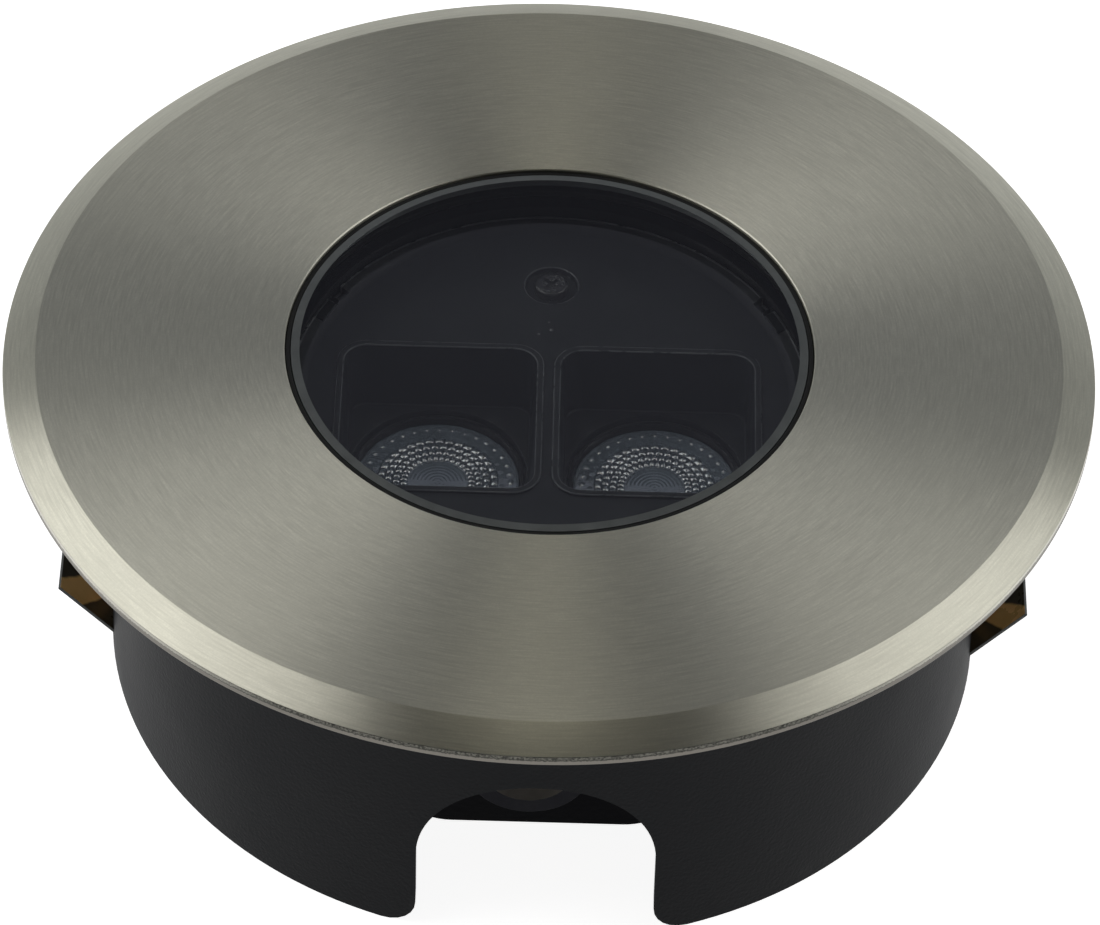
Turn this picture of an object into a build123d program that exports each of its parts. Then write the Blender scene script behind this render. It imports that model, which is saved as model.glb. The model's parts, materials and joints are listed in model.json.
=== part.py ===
from build123d import *
from math import cos, radians, sin, sqrt
import os

# In ground well light: a round cover plate with a glass window, a cast can
# with two lamp units under a moulded tray, and a skirt with spring clips.
# Millimetres. +Z points up out of the ground, -Y points to the cable side.
# The origin is on the axis, in the plane on which the skirt stands.

# ---- heights, from the foot up ----
foot_gap = 3.0              # skirt foot to the underside of the can
floor_wall = 2.5            # floor of the can
driver_room = 7.2           # space for the driver board
plate_thickness = 3.0       # heat plate
pad_thickness = 0.3         # thermal pads
board_thickness = 1.6       # all circuit boards
lens_gap = 0.4              # lamp board to the foot of the lens
lens_height = 10.3
lens_recess = 1.8           # lens face below the floor of its well
well_depth = 10.4
rim_height = 0.8            # raised rim of the tray
tray_drop = 4.4             # tray rim to the glass
glass_flange_thickness = 4.0
gasket_lip = 0.8
trim_thickness = 3.5
glass_recess = 0.2          # glass face below the cover plate's face

# ---- radii, from the window out ----
window_radius = 36.85
glass_gap = 0.85            # window edge to the glass
glass_step = 5.0            # flange beyond the raised middle of the glass
gasket_wall = 1.1
tray_inset = 0.25           # tray edge inside the window edge
tray_fit = 0.4              # tray to the bore of the can
collar_wall = 5.8           # can collar round the gasket
stud_land = 11.75           # room for the studs between collar and skirt
skirt_wall = 2.5
trim_overhang = 13.75       # cover plate beyond the skirt
bevel_width = 4.6
bevel_drop = 2.0

# ---- other sizes ----
fit_gap = 0.05              # close fits
edge_break = 0.3            # small rounded or bevelled edges
window_break = 0.15         # inner edge of the cover plate

glass_bevel_width = 1.2     # shallow ground bevel round the glass face
glass_bevel_drop = 0.15
seat_lip = 1.0              # gasket under the glass flange

can_wall = 3.6
collar_depth = 8.4          # collar of the can below the cover plate
rib_count = 14
rib_depth = 3.0
rib_thickness = 2.0
rib_root = 0.5              # rib sunk into the wall it stands on
rib_sweep = 260.0           # degrees of the wall that carry ribs
can_edge = 1.5              # rounded foot of the can
gland_pad_width = 40.0
gland_pad_proud = 2.4
gland_pad_height = 30.0
gland_pad_corner = 8.0

skirt_flange = 2.5          # inward flange at the top of the skirt
collar_gap = 0.5            # collar to the skirt flange
notch_half_width = 16.4
notch_spring_height = 14.6  # where the arch of the cable notch begins
notch_foot_radius = 4.8

stud_radius = 2.0
stud_clearance = 0.25
stud_tail = 1.6             # stud beyond its nut
lug_radius = 5.0
lug_thickness = 3.2
nut_height = 3.2
nut_flats = 7.0
washer_radius = 4.4
washer_thickness = 0.8

well_spacing = 30.6         # between the centres of the two wells
well_width = 27.2
well_length = 27.8
well_corner = 3.2
well_shift = -4.9           # centre of the wells towards the cable side
well_draft = 3.5            # degrees
tray_wall = 1.5
lip_width = 1.0
lip_height = 0.5
rim_slope_width = 2.6
snap_angle = 32.0           # recesses in the rim, from the X axis, either side
snap_width = 3.0
snap_depth = 1.7
snap_drop = 1.2
snap_pad_angle = 26.7       # pads beside the recesses
snap_pad_width = 4.6
boss_position = 22.8        # tray screw, away from the cable side
boss_radius = 5.2
boss_depth = 3.4
head_well_radius = 3.8
head_well_depth = 1.0
small_head_radius = 2.4
small_head_height = 1.4
small_screw_radius = 1.25
cross_length = 2.6
cross_width = 0.6
cross_depth = 0.7
cross_turn = 45.0
screw_length = 6.0
screw_head_round = 0.45
spacer_flats = 5.0

lens_radius = 11.5
lens_rim = 1.2
lens_foot_radius = 5.0
lens_bowl_radius = 15.45    # curve of the bowl's side
lens_cup_radius = 3.4
lens_cup_depth = 3.0
lens_dimple_radius = 4.2
lens_dimple_depth = 0.35
lens_fit = 0.12
holder_wall = 0.55
holder_foot_wall = 1.2
holder_lip = 0.9            # holder above the lens face
holder_shoulder = 1.1
opening_fit = 0.25

board_width = 25.0
board_hole_inset = 2.6
chip_width = 3.5
chip_height = 0.7
chip_dome_radius = 1.35

plate_gap = 0.6             # heat plate to the bore of the can
plate_post_radius = 3.5
plate_post_inset = 4.4      # post centres inside the bore
driver_width = 52.0
driver_length = 36.0
driver_lift = 1.5
driver_hole_inset = 4.0
part_gap = 0.3              # tallest parts to the heat plate
choke_radius = 5.0
choke_waist = 3.2
choke_flange = 1.2
choke_place = (-13.0, 6.0)
capacitor_length = 10.0
capacitor_gap = 1.0
capacitor_foot = 4.0        # foot of the capacitors from the middle of the board
driver_chip_width = 6.0
driver_chip_height = 1.5
driver_chip_place = (-13.0, -9.0)
terminal_width = 15.0
terminal_depth = 8.0
terminal_pole_radius = 1.3
terminal_pole_depth = 1.6
terminal_pitch = 5.0
terminal_bevel = 0.9
terminal_place = (10.4, -9.0)

gland_offset = -1.3
gland_lift = 7.8            # gland axis above the heat plate
gland_thread_radius = 5.95
gland_bore_radius = 3.5
gland_flats = 15.0
gland_collar = 2.5
gland_spigot_radius = 6.2
gland_spigot_length = 4.0
gland_cup_wall = 1.2
gland_washer_radius = 8.3
gland_washer_thickness = 1.0
nut_radius = 8.5
nut_front = 1.4
nut_mouth_radius = 6.2
nut_hole_radius = 4.4
nut_grips = 12
grip_radius = 0.8
cable_radius = 3.25

strip_width = 20.0
strip_thickness = 0.5
strip_bend = 0.5            # inside radius of both bends
strip_foot = 4.4            # lowest face of the strip above the foot
leg_top = 37.0
arm_rise = 48.6             # degrees above level
arm_length = 11.3
arm_inset = 1.35            # arm's bend inside the skirt's outer face
seat_land = 0.2
slot_side_gap = 0.4
slot_below = 0.8
slot_height = 8.0
seat_top_gap = 1.5
rivet_radius = 1.6
rivet_head_radius = 2.8
rivet_head_height = 0.9
rivet_heights = (23.0, 32.0)
rivet_head_taper = 25.0     # degrees
leg_corner = 2.5

# ---- levels and radii that follow ----
can_bottom = foot_gap
floor_top = can_bottom + floor_wall
plate_bottom = floor_top + driver_room
plate_top = plate_bottom + plate_thickness
board_bottom = plate_top + pad_thickness
board_top = board_bottom + board_thickness
lens_bottom = board_top + lens_gap
lens_top = lens_bottom + lens_height
well_floor = lens_top + lens_recess
tray_face = well_floor + well_depth
tray_rim = tray_face + rim_height
glass_bottom = tray_rim + tray_drop
flange_top = glass_bottom + glass_flange_thickness
trim_bottom = flange_top + gasket_lip
trim_top = trim_bottom + trim_thickness
glass_top = trim_top - glass_recess
glass_edge_top = glass_top - glass_bevel_drop
seat_level = glass_bottom - seat_lip
collar_bottom = trim_bottom - collar_depth
skirt_flange_bottom = trim_bottom - skirt_flange
lug_bottom = skirt_flange_bottom - lug_thickness

glass_radius = window_radius - glass_gap
glass_flange_radius = glass_radius + glass_step
gasket_radius = glass_flange_radius + fit_gap + gasket_wall
seat_radius = gasket_radius + fit_gap
collar_radius = seat_radius + collar_wall
tray_radius = window_radius - tray_inset
bore_radius = tray_radius + tray_fit
can_radius = bore_radius + can_wall
rib_middle = can_radius + (rib_depth - rib_root) / 2
gland_pad_face = can_radius + gland_pad_proud
skirt_inner_radius = collar_radius + stud_land
skirt_radius = skirt_inner_radius + skirt_wall
trim_radius = skirt_radius + trim_overhang
stud_circle = (collar_radius + skirt_inner_radius) / 2
plate_radius = bore_radius - plate_gap
post_circle = bore_radius - plate_post_inset
gland_height = plate_top + gland_lift

well_centres = [(side * well_spacing / 2, well_shift) for side in (-1, 1)]
lens_opening_radius = lens_radius + lens_fit + holder_wall + opening_fit
clear_hole_radius = small_screw_radius + fit_gap
board_hole = board_width / 2 - board_hole_inset

os.makedirs("parts", exist_ok=True)


def save(piece, label):
    piece.part.label = label
    export_step(piece.part, "parts/" + label + ".step")


def side_names(name):
    return (name + "_left", name + "_right")


# ---- cover plate ----
with BuildPart() as trim_ring:
    with BuildSketch(Plane.XZ):
        with BuildLine():
            Polyline(
                (window_radius, trim_bottom),
                (trim_radius, trim_bottom),
                (trim_radius, trim_top - bevel_drop),
                (trim_radius - bevel_width, trim_top),
                (window_radius, trim_top),
                close=True,
            )
        make_face()
    revolve(axis=Axis.Z)
    window_edges = trim_ring.edges().filter_by(GeomType.CIRCLE).sort_by(SortBy.RADIUS)[:2]
    chamfer(window_edges.sort_by(Axis.Z)[-1], window_break)
save(trim_ring, "trim_ring")

# ---- stepped glass: the raised middle fills the window ----
with BuildPart() as glass_window:
    with BuildSketch(Plane.XZ):
        with BuildLine():
            Polyline(
                (0, glass_bottom),
                (glass_flange_radius - edge_break, glass_bottom),
                (glass_flange_radius, glass_bottom + edge_break),
                (glass_flange_radius, flange_top),
                (glass_radius, flange_top),
                (glass_radius, glass_edge_top),
                (glass_radius - glass_bevel_width, glass_top),
                (0, glass_top),
                close=True,
            )
        make_face()
    revolve(axis=Axis.Z)
save(glass_window, "glass_window")

# ---- gasket: wraps the glass flange and stands up round the raised middle ----
with BuildPart() as glass_gasket:
    with BuildSketch(Plane.XZ):
        with BuildLine():
            Polyline(
                (bore_radius + fit_gap, seat_level),
                (gasket_radius, seat_level),
                (gasket_radius, trim_bottom),
                (window_radius - fit_gap, trim_bottom),
                (window_radius - fit_gap, glass_edge_top),
                (glass_radius + fit_gap, glass_edge_top),
                (glass_radius + fit_gap, flange_top),
                (glass_flange_radius + fit_gap, flange_top),
                (glass_flange_radius + fit_gap, glass_bottom),
                (bore_radius + fit_gap, glass_bottom),
                close=True,
            )
        make_face()
    revolve(axis=Axis.Z)
save(glass_gasket, "glass_gasket")

# ---- skirt: flanged cylinder with a cable notch and two clip seats ----
seat_width = strip_width + 2 * slot_side_gap
clip_seat = sqrt(skirt_inner_radius**2 - (seat_width / 2) ** 2) - seat_land
seat_top = leg_top + seat_top_gap

with BuildPart() as mounting_skirt:
    with BuildSketch():
        Circle(skirt_radius)
        Circle(skirt_inner_radius, mode=Mode.SUBTRACT)
    extrude(amount=trim_bottom)
    with BuildSketch(Plane.XY.offset(skirt_flange_bottom)):
        Circle(skirt_inner_radius)
        Circle(collar_radius + collar_gap, mode=Mode.SUBTRACT)
    extrude(amount=skirt_flange)
    with BuildSketch(Plane.XY.offset(skirt_flange_bottom)):
        with PolarLocations(stud_circle, 4, 45):
            Circle(stud_radius + stud_clearance)
    extrude(amount=skirt_flange, mode=Mode.SUBTRACT)
    # flat seats inside the wall for the clip legs
    with BuildSketch():
        for side in (-1, 1):
            middle = side * (clip_seat + skirt_inner_radius + edge_break) / 2
            with Locations((middle, 0)):
                Rectangle(skirt_inner_radius - clip_seat + edge_break, seat_width)
    extrude(amount=seat_top)
    # slots through which the clips reach out
    with BuildSketch(Plane.XY.offset(strip_foot - slot_below)):
        Rectangle(3 * skirt_radius, seat_width)
        Rectangle(2 * clip_seat - 2 * edge_break, seat_width, mode=Mode.SUBTRACT)
    extrude(amount=slot_height, mode=Mode.SUBTRACT)
    # rivet holes
    with BuildSketch(Plane.YZ):
        with Locations(*[(0, height) for height in rivet_heights]):
            Circle(rivet_radius + fit_gap)
    extrude(amount=1.5 * skirt_radius, both=True, mode=Mode.SUBTRACT)
    # cable notch, arched at its top and rounded out at its foot
    with BuildSketch(Plane.XZ.offset(skirt_radius / 2)):
        with BuildLine():
            foot = notch_half_width + notch_foot_radius
            Line((-foot, 0), (foot, 0))
            RadiusArc((foot, 0), (notch_half_width, notch_foot_radius), notch_foot_radius)
            Line((notch_half_width, notch_foot_radius), (notch_half_width, notch_spring_height))
            CenterArc((0, notch_spring_height), notch_half_width, 0, 180)
            Line((-notch_half_width, notch_spring_height), (-notch_half_width, notch_foot_radius))
            RadiusArc((-notch_half_width, notch_foot_radius), (-foot, 0), notch_foot_radius)
        make_face()
    extrude(amount=skirt_radius, mode=Mode.SUBTRACT)
save(mounting_skirt, "mounting_skirt")

# ---- cast can ----
with BuildPart() as lamp_housing:
    with BuildSketch(Plane.XY.offset(can_bottom)):
        Circle(can_radius)
    extrude(amount=trim_bottom - can_bottom)
    fillet(lamp_housing.edges().sort_by(Axis.Z)[0], can_edge)
    with BuildSketch(Plane.XY.offset(collar_bottom)):
        Circle(collar_radius)
    extrude(amount=collar_depth)
    # ears under the skirt flange for the studs
    with BuildSketch(Plane.XY.offset(lug_bottom)):
        with PolarLocations(stud_circle, 4, 45):
            Circle(lug_radius)
        for angle in (45, 135):
            with Locations(Rotation(0, 0, angle)):
                Rectangle(2 * stud_circle, 2 * lug_radius)
    extrude(amount=lug_thickness)
    # cooling ribs round the sides and the back
    with BuildSketch(Plane.XY.offset(can_bottom)):
        with PolarLocations(rib_middle, rib_count, 90 - rib_sweep / 2, rib_sweep, endpoint=True):
            Rectangle(rib_depth + rib_root, rib_thickness)
    extrude(amount=collar_bottom - can_bottom)
    # flat pad for the cable gland
    with BuildSketch(Plane.XZ.offset(bore_radius / 2)):
        with Locations((0, can_bottom + gland_pad_height / 2)):
            RectangleRounded(gland_pad_width, gland_pad_height, gland_pad_corner)
    extrude(amount=gland_pad_face - bore_radius / 2)
    # cavity and gasket seat
    with BuildSketch(Plane.XY.offset(floor_top)):
        Circle(bore_radius)
    extrude(amount=trim_bottom - floor_top, mode=Mode.SUBTRACT)
    with BuildSketch(Plane.XY.offset(seat_level)):
        Circle(seat_radius)
    extrude(amount=trim_bottom - seat_level, mode=Mode.SUBTRACT)
    # posts for the heat plate and bosses for the driver board
    with BuildSketch(Plane.XY.offset(floor_top)):
        with PolarLocations(post_circle, 4, 45):
            Circle(plate_post_radius)
    extrude(amount=driver_room)
    with BuildSketch(Plane.XY.offset(floor_top)):
        with GridLocations(driver_width - 2 * driver_hole_inset, driver_length - 2 * driver_hole_inset, 2, 2):
            Circle(small_head_radius)
    extrude(amount=driver_lift)
    # holes for the studs, the screws and the gland
    with BuildSketch(Plane.XY.offset(lug_bottom)):
        with PolarLocations(stud_circle, 4, 45):
            Circle(stud_radius + stud_clearance)
    extrude(amount=lug_thickness, mode=Mode.SUBTRACT)
    with BuildSketch(Plane.XY.offset(plate_bottom)):
        with PolarLocations(post_circle, 4, 45):
            Circle(clear_hole_radius)
    extrude(amount=-(screw_length - plate_thickness + fit_gap), mode=Mode.SUBTRACT)
    with BuildSketch(Plane.XY.offset(floor_top + driver_lift)):
        with GridLocations(driver_width - 2 * driver_hole_inset, driver_length - 2 * driver_hole_inset, 2, 2):
            Circle(clear_hole_radius)
    extrude(amount=-(driver_lift + fit_gap), mode=Mode.SUBTRACT)
    with BuildSketch(Plane.XZ.offset(bore_radius / 2)):
        with Locations((gland_offset, gland_height)):
            Circle(gland_thread_radius + fit_gap)
    extrude(amount=bore_radius, mode=Mode.SUBTRACT)
save(lamp_housing, "lamp_housing")

# ---- moulded tray with two wells ----
well_outline = (well_width + 2 * lip_width, well_length + 2 * lip_width)
with BuildPart() as baffle_tray:
    with BuildSketch(Plane.XY.offset(tray_face - tray_wall)):
        Circle(tray_radius)
    extrude(amount=tray_wall)
    # raised rim, sloping down to the face
    with BuildSketch(Plane.XZ):
        with BuildLine():
            Polyline(
                (tray_radius, tray_face),
                (tray_radius, tray_rim),
                (tray_radius - edge_break, tray_rim),
                (tray_radius - rim_slope_width, tray_face),
                close=True,
            )
        make_face()
    revolve(axis=Axis.Z)
    # wells hang under the face and have a lip round their mouths
    with BuildSketch(Plane.XY.offset(tray_face)):
        with Locations(*well_centres):
            RectangleRounded(*well_outline, well_corner + lip_width)
    extrude(amount=lip_height)
    with BuildSketch(Plane.XY.offset(tray_face)):
        with Locations(*well_centres):
            RectangleRounded(*well_outline, well_corner + lip_width)
    extrude(amount=-(well_depth + tray_wall), taper=well_draft)
    # screw boss
    with BuildSketch(Plane.XY.offset(tray_face)):
        with Locations((0, boss_position)):
            Circle(boss_radius)
    extrude(amount=-boss_depth)
    with BuildSketch(Plane.XY.offset(tray_face + lip_height)):
        with Locations(*well_centres):
            RectangleRounded(well_width, well_length, well_corner)
    extrude(amount=-(well_depth + lip_height), taper=well_draft, mode=Mode.SUBTRACT)
    with Locations((0, boss_position, tray_face)):
        CounterBoreHole(clear_hole_radius, head_well_radius, head_well_depth)
    # lens openings in the well floors
    with BuildSketch(Plane.XY.offset(well_floor)):
        with Locations(*well_centres):
            Circle(lens_opening_radius)
    extrude(amount=-tray_wall, mode=Mode.SUBTRACT)
    # snap pads on the rim's slope and recesses beside them
    with BuildSketch(Plane.XY.offset(tray_face)):
        for angle in (snap_pad_angle, 180 - snap_pad_angle):
            with Locations(Rotation(0, 0, angle)):
                with Locations((tray_radius, 0)):
                    Rectangle(2 * snap_depth, snap_pad_width)
        Circle(tray_radius, mode=Mode.INTERSECT)
    extrude(amount=rim_height)
    with BuildSketch(Plane.XY.offset(tray_rim)):
        for angle in (snap_angle, 180 - snap_angle):
            with Locations(Rotation(0, 0, angle)):
                with Locations((tray_radius, 0)):
                    Rectangle(2 * snap_depth, snap_width)
    extrude(amount=-snap_drop, mode=Mode.SUBTRACT)
save(baffle_tray, "baffle_tray")


def cross_screws(places, head_bottom, shank_bottom):
    # pan head screws with a cross recess, one at each place
    with BuildPart() as screws:
        with BuildSketch(Plane.XY.offset(shank_bottom)):
            with Locations(*places):
                Circle(small_screw_radius)
        extrude(amount=head_bottom - shank_bottom)
        with BuildSketch(Plane.XY.offset(head_bottom)):
            with Locations(*places):
                Circle(small_head_radius)
        extrude(amount=small_head_height)
        fillet(screws.faces().group_by(Axis.Z)[-1].edges(), screw_head_round)
        with BuildSketch(Plane.XY.offset(head_bottom + small_head_height)):
            with Locations(*places):
                Rectangle(cross_length, cross_width, rotation=cross_turn)
                Rectangle(cross_width, cross_length, rotation=cross_turn)
        extrude(amount=-cross_depth, mode=Mode.SUBTRACT)
    return screws


# ---- tray screw and the spacer it goes into ----
spacer_top = tray_face - boss_depth
head_seat = tray_face - head_well_depth
baffle_screw = cross_screws([(0, boss_position)], head_seat, head_seat - screw_length)
save(baffle_screw, "baffle_screw")

with BuildPart() as baffle_spacer:
    with BuildSketch(Plane.XY.offset(plate_top)):
        with Locations((0, boss_position)):
            RegularPolygon(spacer_flats / 2, 6, major_radius=False)
    extrude(amount=spacer_top - plate_top)
    with BuildSketch(Plane.XY.offset(spacer_top)):
        with Locations((0, boss_position)):
            Circle(clear_hole_radius)
    extrude(amount=-screw_length, mode=Mode.SUBTRACT)
save(baffle_spacer, "baffle_spacer")

# ---- lamp units, one under each well ----
holder_top = lens_top + holder_lip
rim_seat = lens_top - lens_rim
holder_bore = lens_radius + lens_fit
shoulder_level = well_floor - tray_wall
shoulder_radius = holder_bore + holder_wall + holder_shoulder
corner_places = [(x, y) for x in (-board_hole, board_hole) for y in (-board_hole, board_hole)]

for centre, lens_name, holder_name, board_name, chip_name, pad_name in zip(
    well_centres,
    side_names("lens"),
    side_names("lens_holder"),
    side_names("led_board"),
    side_names("led_chip"),
    side_names("thermal_pad"),
):
    lamp_plane = Plane(origin=(centre[0], centre[1], 0), x_dir=(1, 0, 0), z_dir=(0, -1, 0))
    lamp_axis = Axis((centre[0], centre[1], 0), (0, 0, 1))

    # lens: a rim above a bowl that narrows to the lamp, hollow at its foot
    with BuildPart() as lens:
        with BuildSketch(lamp_plane):
            with BuildLine():
                bowl_top = (lens_radius - lens_rim, rim_seat)
                bowl_foot = (lens_foot_radius, lens_bottom)
                Polyline((0, lens_top), (lens_radius, lens_top), (lens_radius, rim_seat), bowl_top)
                RadiusArc(bowl_top, bowl_foot, lens_bowl_radius)
                Polyline(bowl_foot, (0, lens_bottom), (0, lens_top))
            make_face()
        revolve(axis=lamp_axis)
        with BuildSketch(Plane.XY.offset(lens_bottom)):
            with Locations(centre):
                Circle(lens_cup_radius)
        extrude(amount=lens_cup_depth, mode=Mode.SUBTRACT)
        with BuildSketch(Plane.XY.offset(lens_top)):
            with Locations(centre):
                Circle(lens_dimple_radius)
        extrude(amount=-lens_dimple_depth, mode=Mode.SUBTRACT)
    save(lens, lens_name)

    # holder: a cup round the lens that stands on the board
    with BuildPart() as holder:
        with BuildSketch(lamp_plane):
            with BuildLine():
                Polyline(
                    (holder_bore, holder_top),
                    (holder_bore + holder_wall, holder_top),
                    (holder_bore + holder_wall, shoulder_level),
                    (shoulder_radius, shoulder_level),
                    (shoulder_radius, rim_seat - holder_shoulder),
                    (lens_foot_radius + 2 * holder_foot_wall, board_top + holder_foot_wall),
                    (lens_foot_radius + 2 * holder_foot_wall, board_top),
                    (lens_foot_radius + fit_gap, board_top),
                    (lens_foot_radius + fit_gap, lens_bottom),
                )
                inner_foot = (lens_foot_radius + fit_gap, lens_bottom)
                inner_top = (lens_radius - lens_rim + fit_gap, rim_seat)
                RadiusArc(inner_foot, inner_top, -lens_bowl_radius)
                Polyline(inner_top, (holder_bore, rim_seat), (holder_bore, holder_top))
            make_face()
        revolve(axis=lamp_axis)
    save(holder, holder_name)

    with BuildPart() as board:
        with BuildSketch(Plane.XY.offset(board_bottom)):
            with Locations(centre):
                RectangleRounded(board_width, board_width, board_hole_inset / 2)
                with Locations(*corner_places):
                    Circle(clear_hole_radius, mode=Mode.SUBTRACT)
        extrude(amount=board_thickness)
    save(board, board_name)

    with BuildPart() as chip:
        with BuildSketch(Plane.XY.offset(board_top)):
            with Locations(centre):
                Rectangle(chip_width, chip_width)
        extrude(amount=chip_height)
        with Locations((centre[0], centre[1], board_top + chip_height)):
            Sphere(chip_dome_radius, arc_size1=0)
    save(chip, chip_name)

    with BuildPart() as pad:
        with BuildSketch(Plane.XY.offset(plate_top)):
            with Locations(centre):
                Rectangle(board_width, board_width)
                with Locations(*corner_places):
                    Circle(clear_hole_radius, mode=Mode.SUBTRACT)
        extrude(amount=pad_thickness)
    save(pad, pad_name)

# ---- heat plate and the screws in it ----
board_places = [
    (centre[0] + x, centre[1] + y)
    for centre in well_centres
    for x, y in corner_places
]
post_places = [
    (post_circle * cos(radians(angle)), post_circle * sin(radians(angle)))
    for angle in (45, 135, 225, 315)
]
with BuildPart() as heat_plate:
    with BuildSketch(Plane.XY.offset(plate_bottom)):
        Circle(plate_radius)
        with Locations(*post_places, *board_places):
            Circle(clear_hole_radius, mode=Mode.SUBTRACT)
    extrude(amount=plate_thickness)
save(heat_plate, "heat_plate")

plate_screws = cross_screws(post_places, plate_top, plate_top - screw_length)
save(plate_screws, "heat_plate_screws")
board_screws = cross_screws(board_places, board_top, plate_bottom + edge_break)
save(board_screws, "led_board_screws")

# ---- driver board under the heat plate ----
driver_bottom = floor_top + driver_lift
driver_top = driver_bottom + board_thickness
tall_part = plate_bottom - driver_top - part_gap
driver_places = [
    (side * (driver_width / 2 - driver_hole_inset), end * (driver_length / 2 - driver_hole_inset))
    for side in (-1, 1)
    for end in (-1, 1)
]
with BuildPart() as driver_board:
    with BuildSketch(Plane.XY.offset(driver_bottom)):
        RectangleRounded(driver_width, driver_length, driver_hole_inset / 2)
        with Locations(*driver_places):
            Circle(clear_hole_radius, mode=Mode.SUBTRACT)
    extrude(amount=board_thickness)
save(driver_board, "driver_board")
driver_screws = cross_screws(driver_places, driver_top, floor_top)
save(driver_screws, "driver_board_screws")

with BuildPart() as choke_coil:
    with BuildSketch(Plane.XY.offset(driver_top)):
        with Locations(choke_place):
            Circle(choke_radius)
    extrude(amount=tall_part)
    with BuildSketch(Plane.XY.offset(driver_top + choke_flange)):
        with Locations(choke_place):
            Circle(choke_radius)
            Circle(choke_waist, mode=Mode.SUBTRACT)
    extrude(amount=tall_part - 2 * choke_flange, mode=Mode.SUBTRACT)
save(choke_coil, "choke_coil")

# two capacitors lying on the board
capacitor_radius = tall_part / 2
capacitor_edge = driver_length / 2 - capacitor_gap - capacitor_radius
capacitor_rows = (capacitor_edge, capacitor_edge - 2 * capacitor_radius - capacitor_gap)
with BuildPart() as capacitors:
    for row in capacitor_rows:
        capacitor_plane = Plane(
            origin=(capacitor_foot, row, driver_top + capacitor_radius), z_dir=(1, 0, 0)
        )
        with BuildSketch(capacitor_plane):
            Circle(capacitor_radius)
        extrude(amount=capacitor_length)
    fillet(capacitors.edges().filter_by(GeomType.CIRCLE), edge_break)
save(capacitors, "capacitors")

with BuildPart() as driver_chip:
    with BuildSketch(Plane.XY.offset(driver_top)):
        with Locations(driver_chip_place):
            Rectangle(driver_chip_width, driver_chip_width)
    extrude(amount=driver_chip_height)
    chamfer(driver_chip.faces().sort_by(Axis.Z)[-1].edges(), edge_break)
save(driver_chip, "driver_chip")

with BuildPart() as terminal_block:
    with BuildSketch(Plane.XY.offset(driver_top)):
        with Locations(terminal_place):
            Rectangle(terminal_width, terminal_depth)
    extrude(amount=tall_part)
    chamfer(terminal_block.faces().sort_by(Axis.Z)[-1].edges().sort_by(Axis.Y)[0], terminal_bevel)
    with BuildSketch(Plane.XY.offset(driver_top + tall_part)):
        with Locations(terminal_place):
            with GridLocations(terminal_pitch, terminal_pitch, 3, 1):
                Circle(terminal_pole_radius)
    extrude(amount=-terminal_pole_depth, mode=Mode.SUBTRACT)
save(terminal_block, "terminal_block")

# ---- cable gland, along -Y out of the pad ----


def gland_ring_plane(face):
    # a plane across the gland's axis, facing out of the can
    return Plane(origin=(gland_offset, -face, gland_height), x_dir=(1, 0, 0), z_dir=(0, -1, 0))


washer_face = gland_pad_face + gland_washer_thickness
collar_face = washer_face + gland_collar
spigot_face = collar_face + gland_spigot_length
nut_face = spigot_face + fit_gap + nut_front
cup_radius = gland_spigot_radius - gland_cup_wall

with BuildPart() as gland_washer:
    with BuildSketch(gland_ring_plane(gland_pad_face)):
        Circle(gland_washer_radius)
        Circle(gland_thread_radius + fit_gap, mode=Mode.SUBTRACT)
    extrude(amount=gland_washer_thickness)
save(gland_washer, "gland_washer")

with BuildPart() as gland_body:
    with BuildSketch(gland_ring_plane(bore_radius)):
        Circle(gland_thread_radius)
    extrude(amount=washer_face - bore_radius)
    with BuildSketch(gland_ring_plane(washer_face)):
        RegularPolygon(gland_flats / 2, 6, major_radius=False)
    extrude(amount=gland_collar)
    with BuildSketch(gland_ring_plane(collar_face)):
        Circle(gland_spigot_radius)
    extrude(amount=gland_spigot_length)
    with BuildSketch(gland_ring_plane(bore_radius)):
        Circle(gland_bore_radius)
    extrude(amount=spigot_face - bore_radius, mode=Mode.SUBTRACT)
    with BuildSketch(gland_ring_plane(spigot_face)):
        Circle(cup_radius)
    extrude(amount=-(gland_spigot_length + gland_collar / 2), mode=Mode.SUBTRACT)
save(gland_body, "gland_body")

with BuildPart() as gland_bush:
    with BuildSketch(gland_ring_plane(collar_face - gland_collar / 2)):
        Circle(cup_radius - fit_gap)
        Circle(cable_radius, mode=Mode.SUBTRACT)
    extrude(amount=gland_spigot_length + gland_collar / 2 - fit_gap)
    bush_mouth = gland_bush.edges().filter_by(GeomType.CIRCLE).group_by(Axis.Y)[0]
    chamfer(bush_mouth.sort_by(SortBy.RADIUS)[-1], edge_break)
save(gland_bush, "gland_bush")

with BuildPart() as gland_nut:
    with BuildSketch(gland_ring_plane(collar_face + fit_gap)):
        Circle(nut_radius)
    extrude(amount=nut_face - collar_face - fit_gap)
    # grip flutes round the rim
    with BuildSketch(gland_ring_plane(collar_face + fit_gap)):
        with PolarLocations(nut_radius + grip_radius / 2, nut_grips):
            Circle(grip_radius)
    extrude(amount=gland_spigot_length - grip_radius, mode=Mode.SUBTRACT)
    # thread over the spigot, then the tapered mouth
    with BuildSketch(gland_ring_plane(collar_face)):
        Circle(gland_spigot_radius + fit_gap)
    extrude(amount=gland_spigot_length + fit_gap, mode=Mode.SUBTRACT)
    with BuildSketch(gland_ring_plane(nut_face)):
        Circle(nut_mouth_radius)
    with BuildSketch(gland_ring_plane(nut_face - nut_front)):
        Circle(nut_hole_radius)
    loft(mode=Mode.SUBTRACT)
save(gland_nut, "gland_nut")

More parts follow.
